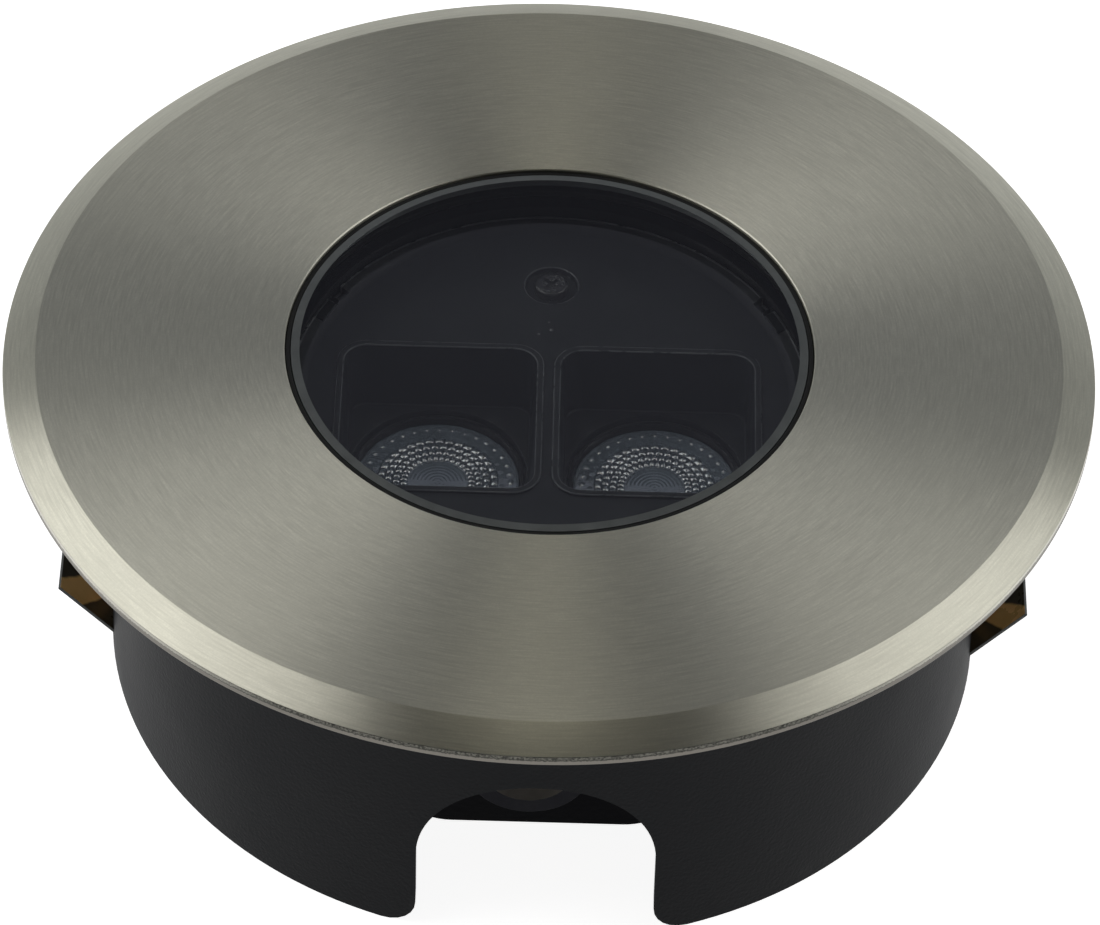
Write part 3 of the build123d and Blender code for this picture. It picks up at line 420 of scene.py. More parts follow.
# ---- finishes, one for each slot of the record ----
steelLook = dict(light=rgb(0.645, 0.627, 0.527), dark=rgb(0.473, 0.459, 0.384), film=rgb(0.57, 0.56, 0.48), lines=3800.0,
                 arcs=13.0, grain=3600.0, mottle=34.0, stain=0.35, specks=0.28, dust=0.10, rough=(0.335, 0.37), smear=0.03, depth=0.0045,
                 stretch=0.9, quarter=0.25)
# the plate's side: painted shade in front and behind, painted light at left and right
plateEdge = edgeFinish("turned side of the plate", dict(
    light=rgb(0.172, 0.160, 0.140), dark=rgb(0.03, 0.03, 0.026), stain=rgb(0.13, 0.127, 0.11), bright=rgb(0.60, 0.58, 0.51), sides=(35, 62),
    lines=3000.0, arcs=450.0, grain=3300.0, mottle=300.0, ragged=0.5, low=51.15, high=51.35, rough=(0.3, 0.42)))
finishes = {
    "brushed_steel": turnedMetal("turned stainless steel", steelLook),
    "toughened_glass": clearFinish("clear window glass", dict(
        tint=rgb(0.97, 0.985, 0.98), film=rgb(0.9, 0.92, 0.91), shadow=rgb(0.86, 0.88, 0.88), mottle=40.0, grain=300.0,
        dust=0.05, rough=(0.0, 0.04), depth=0.0004, clear=1.0, bend=1.5, gloss=0.5)),
    "black_silicone": coatedFinish("black silicone", dict(
        light=rgb(0.008, 0.008, 0.0075), dark=rgb(0.004, 0.004, 0.004), under=rgb(0.02, 0.02, 0.02), film=rgb(0.02, 0.02, 0.02),
        grain=1600.0, mottle=120.0, dust=0.15, wear=0.2, rough=(0.5, 0.62), depth=0.01, gloss=0.15)),
    "black_coating": coatedFinish("black powder coat", dict(
        light=rgb(0.0066, 0.0076, 0.0096), dark=rgb(0.0044, 0.0052, 0.0068), under=rgb(0.04, 0.041, 0.043), film=rgb(0.022, 0.023, 0.024),
        grain=1900.0, mottle=35.0, dust=0.12, wear=0.3, rough=(0.46, 0.54), depth=0.055, gloss=0.10)),
    "cast_can": coatedFinish("painted casting", dict(
        light=rgb(0.0040, 0.0042, 0.0062), dark=rgb(0.0028, 0.0030, 0.0044), under=rgb(0.03, 0.03, 0.032), film=rgb(0.012, 0.012, 0.013),
        grain=1100.0, mottle=60.0, dust=0.2, wear=0.0, rough=(0.48, 0.6), depth=0.05, gloss=0.04)),
    "black_moulding": coatedFinish("satin black moulding", dict(
        light=rgb(0.0052, 0.0060, 0.0070), dark=rgb(0.0036, 0.0042, 0.0050), under=rgb(0.075, 0.078, 0.084), film=rgb(0.014, 0.0145, 0.0165),
        grain=2600.0, mottle=140.0, dust=0.25, wear=0.0, rough=(0.34, 0.44), depth=0.006, gloss=0.12)),
    "black_screw": coatedFinish("black plated screw", dict(
        light=rgb(0.006, 0.006, 0.007), dark=rgb(0.004, 0.004, 0.0045), under=rgb(0.09, 0.09, 0.09), film=rgb(0.012, 0.012, 0.012),
        grain=3000.0, mottle=400.0, dust=0.1, wear=0.5, rough=(0.14, 0.22), depth=0.004, gloss=0.4)),
    "plain_brass": turnedMetal("turned brass", dict(
        light=rgb(0.82, 0.62, 0.30), dark=rgb(0.66, 0.47, 0.20), film=rgb(0.40, 0.34, 0.22), centre=(0, 0, 0), turn=(math.pi / 2, 0, 0),
        lines=9000.0, arcs=2.0, grain=1500.0, mottle=150.0, stain=0.4, dust=0.2, rough=(0.22, 0.34), smear=0.08, depth=0.003)),
    "clear_lens": clearFinish("clear moulded lens", dict(
        tint=rgb(0.088, 0.105, 0.128), film=rgb(0.11, 0.13, 0.15), shadow=rgb(0.5, 0.53, 0.56), mottle=200.0, grain=900.0,
        dust=0.2, rough=(0.06, 0.10), depth=0.0004, clear=0.1, bend=2.0, gloss=1.0)),
    "lamp_board": coatedFinish("white lamp board", dict(
        light=rgb(0.84, 0.85, 0.83), dark=rgb(0.74, 0.75, 0.73), under=rgb(0.62, 0.60, 0.56), film=rgb(0.7, 0.69, 0.66),
        grain=1500.0, mottle=180.0, dust=0.2, wear=0.3, rough=(0.3, 0.4), depth=0.005, gloss=0.5)),
    "lamp_phosphor": coatedFinish("phosphor dome", dict(
        light=rgb(0.9, 0.75, 0.16), dark=rgb(0.82, 0.62, 0.10), under=rgb(0.92, 0.8, 0.3), film=rgb(0.85, 0.75, 0.35),
        grain=5000.0, mottle=700.0, dust=0.1, wear=0.1, rough=(0.25, 0.35), depth=0.003, gloss=0.6)),
    "thermal_pad": coatedFinish("thermal pad", dict(
        light=rgb(0.5, 0.53, 0.57), dark=rgb(0.42, 0.45, 0.5), under=rgb(0.55, 0.57, 0.6), film=rgb(0.6, 0.6, 0.6),
        grain=1200.0, mottle=160.0, dust=0.2, wear=0.2, rough=(0.6, 0.75), depth=0.02, gloss=0.3)),
    "plain_aluminium": grainedMetal("plain aluminium", dict(
        light=rgb(0.60, 0.60, 0.61), dark=rgb(0.44, 0.44, 0.45), bright=rgb(0.7, 0.7, 0.7), grain=1400.0, mottle=240.0,
        wear=0.3, rough=(0.32, 0.45), depth=0.008)),
    "plated_screw": grainedMetal("zinc plated screws", dict(
        light=rgb(0.74, 0.74, 0.76), dark=rgb(0.58, 0.58, 0.6), bright=rgb(0.88, 0.88, 0.88), grain=3000.0, mottle=300.0,
        wear=0.4, rough=(0.22, 0.34), depth=0.004)),
    "driver_board": coatedFinish("green circuit board", dict(
        light=rgb(0.03, 0.17, 0.07), dark=rgb(0.02, 0.12, 0.045), under=rgb(0.35, 0.33, 0.2), film=rgb(0.2, 0.25, 0.2),
        grain=900.0, mottle=110.0, dust=0.25, wear=0.3, rough=(0.25, 0.36), depth=0.01, gloss=0.5)),
    "dark_ferrite": coatedFinish("dark ferrite", dict(
        light=rgb(0.05, 0.05, 0.056), dark=rgb(0.03, 0.03, 0.034), under=rgb(0.1, 0.1, 0.1), film=rgb(0.12, 0.12, 0.11),
        grain=2200.0, mottle=260.0, dust=0.3, wear=0.3, rough=(0.5, 0.65), depth=0.02, gloss=0.4)),
    "terminal_plastic": coatedFinish("terminal plastic", dict(
        light=rgb(0.06, 0.26, 0.12), dark=rgb(0.045, 0.2, 0.09), under=rgb(0.12, 0.34, 0.2), film=rgb(0.25, 0.32, 0.26),
        grain=1800.0, mottle=200.0, dust=0.2, wear=0.3, rough=(0.38, 0.5), depth=0.01, gloss=0.5)),
    "gland_nylon": coatedFinish("black nylon", dict(
        light=rgb(0.011, 0.011, 0.017), dark=rgb(0.007, 0.007, 0.012), under=rgb(0.03, 0.03, 0.036), film=rgb(0.02, 0.02, 0.024),
        grain=2400.0, mottle=170.0, dust=0.2, wear=0.5, rough=(0.42, 0.55), depth=0.01, gloss=0.08)),
    # painted reflection: the clip strip is bright bronze in one field and painted near-black elsewhere
    "spring_strip": stripWithPaintedReflection("bronze spring strip with painted reflection", dict(
        light=rgb(0.98, 0.62, 0.26), dark=rgb(0.80, 0.47, 0.17), mirroredDark=rgb(0.07, 0.06, 0.042), grain=300.0, mottle=90.0,
        limits=((6.6, -1.0, -1.08), (-6.35, 1.0, 1.65)), wander=1.2, soft=0.5, rough=(0.24, 0.32), depth=0.0006, metal=0.25)),
    "plain_steel": grainedMetal("plain stainless steel", dict(
        light=rgb(0.62, 0.62, 0.6), dark=rgb(0.48, 0.48, 0.46), bright=rgb(0.75, 0.75, 0.73), grain=2500.0, mottle=200.0,
        wear=0.4, rough=(0.28, 0.4), depth=0.006)),
}
# painted highlight: a lighter copy of the black moulding that gives the thin light lines on rounded edges; its lower
# roughness and higher gloss are polish
mouldedEdgeHighlight = coatedFinish("painted highlight on the moulding's edges", dict(
    light=rgb(0.040, 0.042, 0.046), dark=rgb(0.024, 0.0255, 0.028), under=rgb(0.05, 0.05, 0.05), film=rgb(0.03, 0.03, 0.03),
    grain=2600.0, mottle=300.0, dust=0.1, wear=0.0, rough=(0.24, 0.34), depth=0.004, gloss=0.45))
# painted sheen: a lighter copy of the black moulding laid in a fold
mouldedFoldSheen = coatedFinish("painted sheen in the moulding's folds", dict(
    light=rgb(0.014, 0.0148, 0.0165), dark=rgb(0.007, 0.0075, 0.0085), under=rgb(0.02, 0.02, 0.02), film=rgb(0.02, 0.02, 0.02),
    grain=2600.0, mottle=300.0, dust=0.1, wear=0.0, rough=(0.3, 0.4), depth=0.004, gloss=0.2))
# painted shade: a darker copy of the lens finish for the grooves between the lenslets
lensGrooveShade = clearFinish("painted shade in the grooves between the lenslets", dict(
    tint=rgb(0.030, 0.036, 0.046), film=rgb(0.05, 0.055, 0.06), shadow=rgb(0.5, 0.53, 0.56), mottle=200.0, grain=900.0,
    dust=0.2, rough=(0.2, 0.3), depth=0.0004, clear=0.1, bend=1.5, gloss=0.3))
# painted shade: near-black colour for the strip's cut tips and flanks
stripEdgeShade = coatedFinish("painted shade on the cut edge of the strip", dict(
    light=rgb(0.030, 0.036, 0.033), dark=rgb(0.018, 0.022, 0.020), under=rgb(0.06, 0.06, 0.055), film=rgb(0.04, 0.04, 0.04),
    grain=2500.0, mottle=200.0, dust=0.1, wear=0.2, rough=(0.35, 0.45), depth=0.005, gloss=0.4))
# the brown rubber colour of the bush, painted paler to stand in for light that hardly reaches deep into the notch; the
# nut's mouth cone gets it too
bushRubberPaintedLight = coatedFinish("brown rubber bush, painted pale", dict(
    light=rgb(0.24, 0.22, 0.195), dark=rgb(0.18, 0.165, 0.145), under=rgb(0.25, 0.23, 0.20), film=rgb(0.2, 0.18, 0.16),
    grain=2000.0, mottle=260.0, dust=0.2, wear=0.3, rough=(0.45, 0.55), depth=0.01, gloss=0.2))
groundGlass = coatedFinish("ground glass edge", dict(
    light=rgb(0.049, 0.054, 0.053), dark=rgb(0.038, 0.042, 0.042), under=rgb(0.11, 0.12, 0.12), film=rgb(0.09, 0.1, 0.1),
    grain=3500.0, mottle=150.0, dust=0.1, wear=0.4, rough=(0.30, 0.42), depth=0.006, gloss=0.6))
for node, part in frame["nodes"].items():
    part.data.materials.clear()
    part.data.materials.append(bushRubberPaintedLight if node == "gland_bush" else finishes[slotOf[node]])
print("finishes made:", len(finishes) + 1)

# ---- cover plate: a flat ring with a bevelled edge, turned all round ----
plate = dict(windowRadius=36.85, bevelWidth=4.6, bevelDrop=2.0, windowEdge=0.15, crease=0.35, foot=0.18, steps=360)
plateLow, plateHigh = lowest("trim_ring"), highest("trim_ring")
plateRadius, plateTop, plateBottom = plateHigh[0], plateHigh[2], plateLow[2]
plateProfile = roundCorners(
    [(plate["windowRadius"], plateBottom), (plateRadius, plateBottom), (plateRadius, plateTop - plate["bevelDrop"]),
     (plateRadius - plate["bevelWidth"], plateTop), (plate["windowRadius"] + plate["windowEdge"], plateTop),
     (plate["windowRadius"], plateTop - plate["windowEdge"])],
    [0.1, plate["foot"], plate["foot"], plate["crease"], 0.08, 0.08])
onEdge = (plateProfile[:, 0] > plateRadius - 0.1) & (plateProfile[:, 1] < plateTop - plate["bevelDrop"] - 0.02)
buildPiece("cover_plate", [spin(plateProfile, plate["steps"], look=onEdge.astype(int))], [finishes["brushed_steel"], plateEdge],
           "root", "brushed_steel", "trim_ring", sharp=60)
print("cover plate made")

# ---- window: a stepped glass disc with a ground bevel ----
window = dict(flangeHeight=4.0, step=5.0, bevelWidth=1.2, bevelDrop=0.15, edge=0.3, steps=240)
glassLow, glassHigh = lowest("glass_window"), highest("glass_window")
glassBottom, glassTop, glassFlange = glassLow[2], glassHigh[2], glassHigh[0]
glassRadius = glassFlange - window["step"]
glassProfile = np.array([
    (0, glassTop), (glassRadius - window["bevelWidth"], glassTop), (glassRadius, glassTop - window["bevelDrop"]),
    (glassRadius, glassBottom + window["flangeHeight"]), (glassFlange, glassBottom + window["flangeHeight"]),
    (glassFlange, glassBottom + window["edge"]), (glassFlange - window["edge"], glassBottom), (0, glassBottom)])
groundBand = np.array([0] + [1] * (len(glassProfile) - 3) + [0])
buildPiece("window_glass", [spin(glassProfile, window["steps"], closed=False, look=groundBand)],
           [finishes["toughened_glass"], groundGlass], "root", "toughened_glass", "glass_window", sharp=5)
print("window made")

# ---- gasket: a channel round the glass flange with a lip up to the bevel ----
gasket = dict(wall=1.05, lipGap=0.05, steps=240, round=0.25)
gasketLow, gasketHigh = lowest("glass_gasket"), highest("glass_gasket")
gasketRadius = gasketHigh[0]
lipOuter, lipInner = plate["windowRadius"] - gasket["lipGap"], glassRadius + gasket["lipGap"]
gasketFlange = glassFlange + gasket["lipGap"]
gasketProfile = roundCorners(
    [(37.05, gasketLow[2]), (gasketRadius, gasketLow[2]), (gasketRadius, plateBottom), (lipOuter, plateBottom),
     (lipOuter, gasketHigh[2]), (lipInner, gasketHigh[2]), (lipInner, glassBottom + window["flangeHeight"]),
     (gasketFlange, glassBottom + window["flangeHeight"]), (gasketFlange, glassBottom), (37.05, glassBottom)],
    [0.2, 0.2, 0.1, 0, gasket["round"], gasket["round"], 0, 0, 0, 0.2])
buildPiece("window_gasket", [spin(gasketProfile, gasket["steps"])], [finishes["black_silicone"]], "root", "black_silicone",
           "glass_gasket", sharp=50)
print("gasket made")

# ---- tray: a moulded disc with a sloping rim, two wells, snap recesses and a screw boss ----
tray = dict(rimHeight=0.8, wall=1.5, rimSlope=2.6, rimEdge=0.3, wellSpacing=30.6, wellShift=-4.9, wellWidth=27.2,
            wellLength=27.8, wellCorner=3.2, wellDraft=3.5, wellDepth=10.4, lipWidth=1.0, lipHeight=0.5, lipRound=0.16,
            floorRound=0.5, opening=12.42, snapAngle=32.0, snapWidth=3.0, snapReach=1.7, snapDrop=1.2, padAngle=26.7,
            padWidth=4.6, bossPlace=(0.0, 22.8), bossRadius=5.2, bossDepth=3.4, headWell=3.8, headWellDepth=1.0,
            screwHole=1.3, foldWidth=0.7, collar=0.8, pips=((0.2, 13.5, 0.26), (-1.6, 12.6, 0.2), (-0.2, 15.1, 0.14)), columns=360)
trayRadius, trayRim = highest("baffle_tray")[0], highest("baffle_tray")[2]
trayFace = trayRim - tray["rimHeight"]
trayBack = trayFace - tray["wall"]
wellFloor = trayFace - tray["wellDepth"]
footRadius = trayRadius - tray["rimSlope"]
faceRadius = footRadius - tray["foldWidth"]


def outlinePath(width, length, corner, perCorner=8, perSide=10):
    # a rounded rectangle as corner centres and outward directions, so that an offset only changes the reach
    centres = np.array([(1, 1), (-1, 1), (-1, -1), (1, -1)]) * (width / 2 - corner, length / 2 - corner)
    angles = np.pi / 2 * (np.linspace(0, 1, perCorner + 1) + np.arange(4)[:, None])
    arcWay = np.stack([np.cos(angles), np.sin(angles)], -1)
    arcBase = np.repeat(centres[:, None], perCorner + 1, axis=1)
    share = np.linspace(0, 1, perSide + 1)[1:-1, None]
    sideBase = centres[:, None] * (1 - share) + np.roll(centres, -1, 0)[:, None] * share
    sideWay = np.repeat(arcWay[:, -1:], perSide - 1, axis=1)
    return (np.concatenate([arcBase, sideBase], 1).reshape(-1, 2), np.concatenate([arcWay, sideWay], 1).reshape(-1, 2))


def wellPatch(centre):
    # levels of the outline from the lip down the drafted wall, over the floor to the round opening and back up outside
    base, way = outlinePath(tray["wellWidth"], tray["wellLength"], tray["wellCorner"])
    slope = math.tan(math.radians(tray["wellDraft"]))
    lip, lipTop, soft = tray["lipWidth"], trayFace + tray["lipHeight"], tray["lipRound"]
    quarter = np.linspace(0, np.pi / 2, 4)
    inset = (lipTop - wellFloor) * slope
    rounding = tray["floorRound"]
    levels = [(lip, trayFace)]
    levels += [(lip - soft * (1 - math.cos(a)), lipTop - soft * (1 - math.sin(a))) for a in quarter]
    levels += [(soft * (1 - math.sin(a)), lipTop - soft * (1 - math.cos(a))) for a in quarter]
    levels += [(-inset - rounding * (1 - math.cos(a)), wellFloor + rounding * (1 - math.sin(a))) for a in quarter]
    inner = np.array([base + (tray["wellCorner"] + out) * way for out, _ in levels])
    heights = [height for _, height in levels]
    polar = np.arctan2(inner[-1, :, 1], inner[-1, :, 0])
    ring = np.stack([np.cos(polar), np.sin(polar)], -1)
    edge = 0.2
    circles = [(tray["opening"] + edge, wellFloor), (tray["opening"] + 0.06, wellFloor - 0.06), (tray["opening"], wellFloor - edge),
               (tray["opening"], wellFloor - tray["wall"])]
    hole = np.array([radius * ring for radius, _ in circles])
    outside = [(lip - (trayFace - wellFloor + tray["wall"]) * slope, wellFloor - tray["wall"]), (lip - tray["wall"] * slope, trayBack)]
    outer = np.array([base + (tray["wellCorner"] + out) * way for out, _ in outside])
    heights += [height for _, height in circles] + [height for _, height in outside]
    flat = np.concatenate([inner, hole, outer]) + centre
    points = np.concatenate([flat, np.broadcast_to(np.array(heights)[:, None, None], flat.shape[:2] + (1,))], -1)
    # painted highlight on the rounded lip edges (look 1)
    look = np.zeros(len(points) - 1, int)
    # painted sheen: the middle of the fillet at the foot of the well wall (look 2) is painted lighter
    look[[1, 2, 3, 5, 6, 7]], look[10] = 1, 2
    return gridPatch(points, wrapColumns=True, look=np.repeat(look, len(base))), points[0, :, :2], points[-1, :, :2]


def circleAt(radius, centre, steps):
    angle = np.linspace(0, 2 * np.pi, steps, endpoint=False)
    return np.array(centre) + radius * np.stack([np.cos(angle), np.sin(angle)], -1)


def rimSection(level):
    # from the foot of the slope to the disc's outer edge and back under it; level is the height at the snap's inner wall
    reach, edge = trayRadius - tray["snapReach"], tray["rimEdge"]
    slope = trayFace + tray["rimHeight"] * (reach - footRadius) / (tray["rimSlope"] - edge)
    top, low = max(level, trayRim) if level > slope - 0.01 else level, trayRim - tray["snapDrop"]
    quarter = np.linspace(0, np.pi / 2, 5)
    rounded = min(edge, max(top - low, 0.0)) if top > low else 0.0
    arc = [(trayRadius - edge * (1 - math.sin(a)), top - rounded * (1 - math.cos(a))) for a in quarter]
    before = (0.12 * reach + 0.88 * arc[0][0], 0.12 * level + 0.88 * arc[0][1])
    return np.array([(faceRadius, trayFace), (footRadius - tray["foldWidth"] / 2, trayFace), (footRadius, trayFace),
                     (reach, slope), (reach, level), before, *arc, (trayRadius, low), (trayRadius, trayBack), (faceRadius, trayBack)])


def makeTray():
    reach = trayRadius - tray["snapReach"]
    slope = trayFace + tray["rimHeight"] * (reach - footRadius) / (tray["rimSlope"] - tray["rimEdge"])
    plain, pad, recess = rimSection(slope), rimSection(trayRim), rimSection(trayRim - tray["snapDrop"])
    spans = []
    for angle, width, section in ((tray["snapAngle"], tray["snapWidth"], recess), (tray["padAngle"], tray["padWidth"], pad)):
        half = math.degrees(math.asin(width / 2 / reach))
        spans += [(angle - half, angle + half, section), (180 - angle - half, 180 - angle + half, section)]
    angles = [angle for angle in np.linspace(0, 360, tray["columns"], endpoint=False) + 0.13
              if all(abs(angle - (a + b) / 2) > (b - a) / 2 for a, b, _ in spans)]
    columns = [(angle, 0, plain) for angle in angles]
    for a, b, section in spans:
        columns += [(a, -1, plain), (b, 9, plain)] + [(angle, k + 1, section) for k, angle in enumerate(np.linspace(a, b, 6))]
    columns.sort(key=lambda column: (round(column[0], 6), column[1]))
    turn = np.radians([column[0] for column in columns])
    section = np.array([column[2] for column in columns])
    ring = np.stack([np.cos(turn)[:, None] * section[..., 0], np.sin(turn)[:, None] * section[..., 0], section[..., 1]], -1)
    # painted highlight: the rounded outer top edge of the rim takes the highlight colour
    look = np.zeros(ring.shape[1] - 1, int)
    look[5:9] = 1
    rim = gridPatch(ring, wrapRows=True, look=np.tile(look, len(ring)))
    turn = np.unique(turn.round(9))
    foot = faceRadius * np.stack([np.cos(turn), np.sin(turn)], -1)
    wells = [wellPatch(np.array([side * tray["wellSpacing"] / 2, tray["wellShift"]])) for side in (-1, 1)]
    boss = roundCorners([(tray["screwHole"], trayFace - tray["headWellDepth"]), (tray["headWell"], trayFace - tray["headWellDepth"]),
                         (tray["headWell"], trayFace), (tray["headWell"] + tray["collar"] / 2, trayFace)], [0, 0.25, 0.16, 0], 4)
    boss = np.concatenate([boss, [(tray["headWell"] + tray["collar"] * share, trayFace) for share in (0.75, 1)]])
    under = np.array([(tray["bossRadius"], trayBack), (tray["bossRadius"], trayFace - tray["bossDepth"]),
                      (tray["screwHole"], trayFace - tray["bossDepth"]), (tray["screwHole"], trayFace - tray["headWellDepth"])])
    # painted highlight: the rounded top edge of the screw's head well takes the highlight colour
    look = np.zeros(len(under) + len(boss) - 1, int)
    look[12:15] = 1
    bossPatch = spin(np.concatenate([under, boss]), 48, tray["bossPlace"], closed=False, look=look)
    # small pips left by the mould's gate; their domes take the painted highlight colour
    pips = []
    for x, y, radius in tray["pips"]:
        dome = radius * np.stack([np.sin(np.linspace(np.pi / 2, 0, 5)), np.cos(np.linspace(np.pi / 2, 0, 5)) * 0.5], -1)
        dome = np.concatenate([[(0, -0.1), (radius, -0.1)], dome]) + (0, trayFace)
        pips.append(spin(dome, 16, (x, y), closed=False, look=1))
    face = flatPatch([foot, wells[0][1], wells[1][1], circleAt(tray["headWell"] + tray["collar"], tray["bossPlace"], 48)], trayFace)
    back = flatPatch([foot, wells[0][2], wells[1][2], circleAt(tray["bossRadius"], tray["bossPlace"], 48)], trayBack)
    buildPiece("well_tray", [rim, wells[0][0], wells[1][0], bossPatch, face, back, *pips],
               [finishes["black_moulding"], mouldedEdgeHighlight, mouldedFoldSheen], "root", "black_moulding", "baffle_tray", sharp=28)


makeTray()
print("tray made")

# ---- lenses: a smooth rim, two rings of small dots, four staggered rings of lenslets and a plain middle ----
lens = dict(radius=11.5, rim=1.2, footRadius=5.0, cupRadius=3.4, cupDepth=3.0, bowlRadius=15.45, middle=4.26, rings=4,
            pitch=1.08, around=36, height=0.2, roundness=2.0, grooveShare=0.3, slope=0.05, dots=((9.15, 0.08), (10.35, 0.14)), dotSize=0.2, lastDot=10.95,
            ripple=0.008, rippleStep=0.55, columns=12, rows=10)


def makeLens(side, centre):
    low, high = lowest("lens_" + side), highest("lens_" + side)
    bottom, top = low[2], high[2]
    columns = lens["around"] * lens["columns"]
    angle = np.linspace(0, 2 * np.pi, columns, endpoint=False)
    # the face: a plain middle with faint ripples, brick-like lenslets with rounded backs, then dots
    outerEdge = lens["middle"] + lens["rings"] * lens["pitch"]
    smooth = np.linspace(0, lens["middle"], 40)[:-1]
    ringed = np.linspace(lens["middle"], outerEdge, lens["rings"] * lens["rows"] + 1)
    dotted = np.linspace(outerEdge, lens["lastDot"], 26)[1:]
    radius = np.concatenate([smooth, ringed, dotted, [lens["radius"] - 0.12, lens["radius"]]])
    ring = np.clip((radius - lens["middle"]) / lens["pitch"], 0, lens["rings"] - 1e-6)
    turns = lens["around"] * angle / (2 * np.pi)
    across = 1 - (2 * (ring % 1) - 1)[:, None] ** 2
    along = 1 - np.abs(2 * ((turns + np.floor(ring)[:, None] / 2) % 1) - 1) ** lens["roundness"]
    relief = lens["height"] * across * along * (radius < outerEdge)[:, None]
    low4 = relief[:-1] + relief[1:]
    low4 = (low4 + np.roll(low4, -1, 1)) / 4
    ringed4 = ((radius[:-1] + radius[1:]) / 2 > lens["middle"]) & ((radius[:-1] + radius[1:]) / 2 < outerEdge)
    # painted shade: quads low between the lenslets take the darker groove colour
    grooveShade = ringed4[:, None] & (low4 < lens["grooveShare"] * lens["height"])
    for place, (dotRadius, dotHeight) in enumerate(lens["dots"]):
        aside = ((turns + place / 2) % 1 - 0.5) * 2 * np.pi * dotRadius / lens["around"]
        relief = relief + dotHeight * np.exp(-((radius[:, None] - dotRadius) ** 2 + aside ** 2) / (2 * lens["dotSize"] ** 2))
    dish = -lens["height"] - lens["slope"] * np.clip(outerEdge - np.maximum(radius, lens["middle"]), 0, None)
    dish += lens["ripple"] * np.cos(2 * np.pi * radius / lens["rippleStep"]) * (radius < lens["middle"])
    edge = np.where(radius > lens["radius"] - 0.05, -0.1, 0)
    face = np.stack([centre[0] + radius[:, None] * np.cos(angle), centre[1] + radius[:, None] * np.sin(angle),
                     top + relief + (dish + edge)[:, None]], -1)
    # the bowl's side is an arc through its top and its foot
    start, end = np.array([lens["radius"] - lens["rim"], top - lens["rim"]]), np.array([lens["footRadius"], bottom])
    chord = end - start
    length = np.linalg.norm(chord)
    inward = np.array([chord[1], -chord[0]]) / length
    reach = math.sqrt(lens["bowlRadius"] ** 2 - (length / 2) ** 2)
    middle = (start + end) / 2 + inward * reach
    first, last = [math.atan2(*(point - middle)[::-1]) for point in (start, end)]
    sweep = np.linspace(first, last, 10)
    bowl = middle + lens["bowlRadius"] * np.stack([np.cos(sweep), np.sin(sweep)], -1)
    cup = [(lens["cupRadius"], bottom), (lens["cupRadius"], bottom + lens["cupDepth"]), (0, bottom + lens["cupDepth"])]
    back = np.concatenate([[(lens["radius"], top - lens["rim"])], bowl, cup])
    body = np.stack([centre[0] + back[:, :1] * np.cos(angle), centre[1] + back[:, :1] * np.sin(angle),
                     np.broadcast_to(back[:, 1:], (len(back), columns))], -1)
    look = np.concatenate([grooveShade.astype(int), np.zeros((len(body), columns), int)]).ravel()
    buildPiece("collimator_" + side, [gridPatch(np.concatenate([face, body]), wrapColumns=True, look=look)],
               [finishes["clear_lens"], lensGrooveShade], "root", "clear_lens", "lens_" + side, sharp=40)


for side, sign in (("left", -1), ("right", 1)):
    makeLens(side, (sign * tray["wellSpacing"] / 2, tray["wellShift"]))
print("lenses made")

# ---- lens holders: a thin black cup whose lip stands up round the lens ----
for side in ("left", "right"):
    softenNode("lens_holder_" + side, 0.12)
softenNode("baffle_screw", 0.08)

# ---- gland nut: black outside; its mouth cone gets the pale brown rubber colour, painted lighter to stand in for light ----
glandNut = softenNode("gland_nut", 0.12, others=[bushRubberPaintedLight])
nutLow, nutHigh = lowest("gland_nut"), highest("gland_nut")
nutAxis = (nutLow + nutHigh) / 2 * mm
middles = np.array([face.center for face in glandNut.data.polygons])
reach = np.hypot(middles[:, 0] - nutAxis[0], middles[:, 2] - nutAxis[2])
# painted light: the faces of the nut's mouth cone take the pale rubber colour
mouthPaintedPale = (reach < 6.19 * mm) & (middles[:, 1] > nutLow[1] * mm + 0.01 * mm) & (middles[:, 1] < nutLow[1] * mm + 1.5 * mm)
glandNut.data.polygons.foreach_set("material_index", mouthPaintedPale.astype(int))
for node in ("gland_body", "gland_washer", "clip_rivets_left", "clip_rivets_right", "trim_washers", "trim_nuts"):
    softenNode(node, 0.1)
print("small parts softened")

# ---- spring clips: bent strip, with painted shade on its cut edges ----
clip = dict(thickness=0.5, bendX=60.9, bendZ=5.4, bendRadius=0.75, rise=48.6, length=11.3, halfWidth=10.0, bevel=0.1)


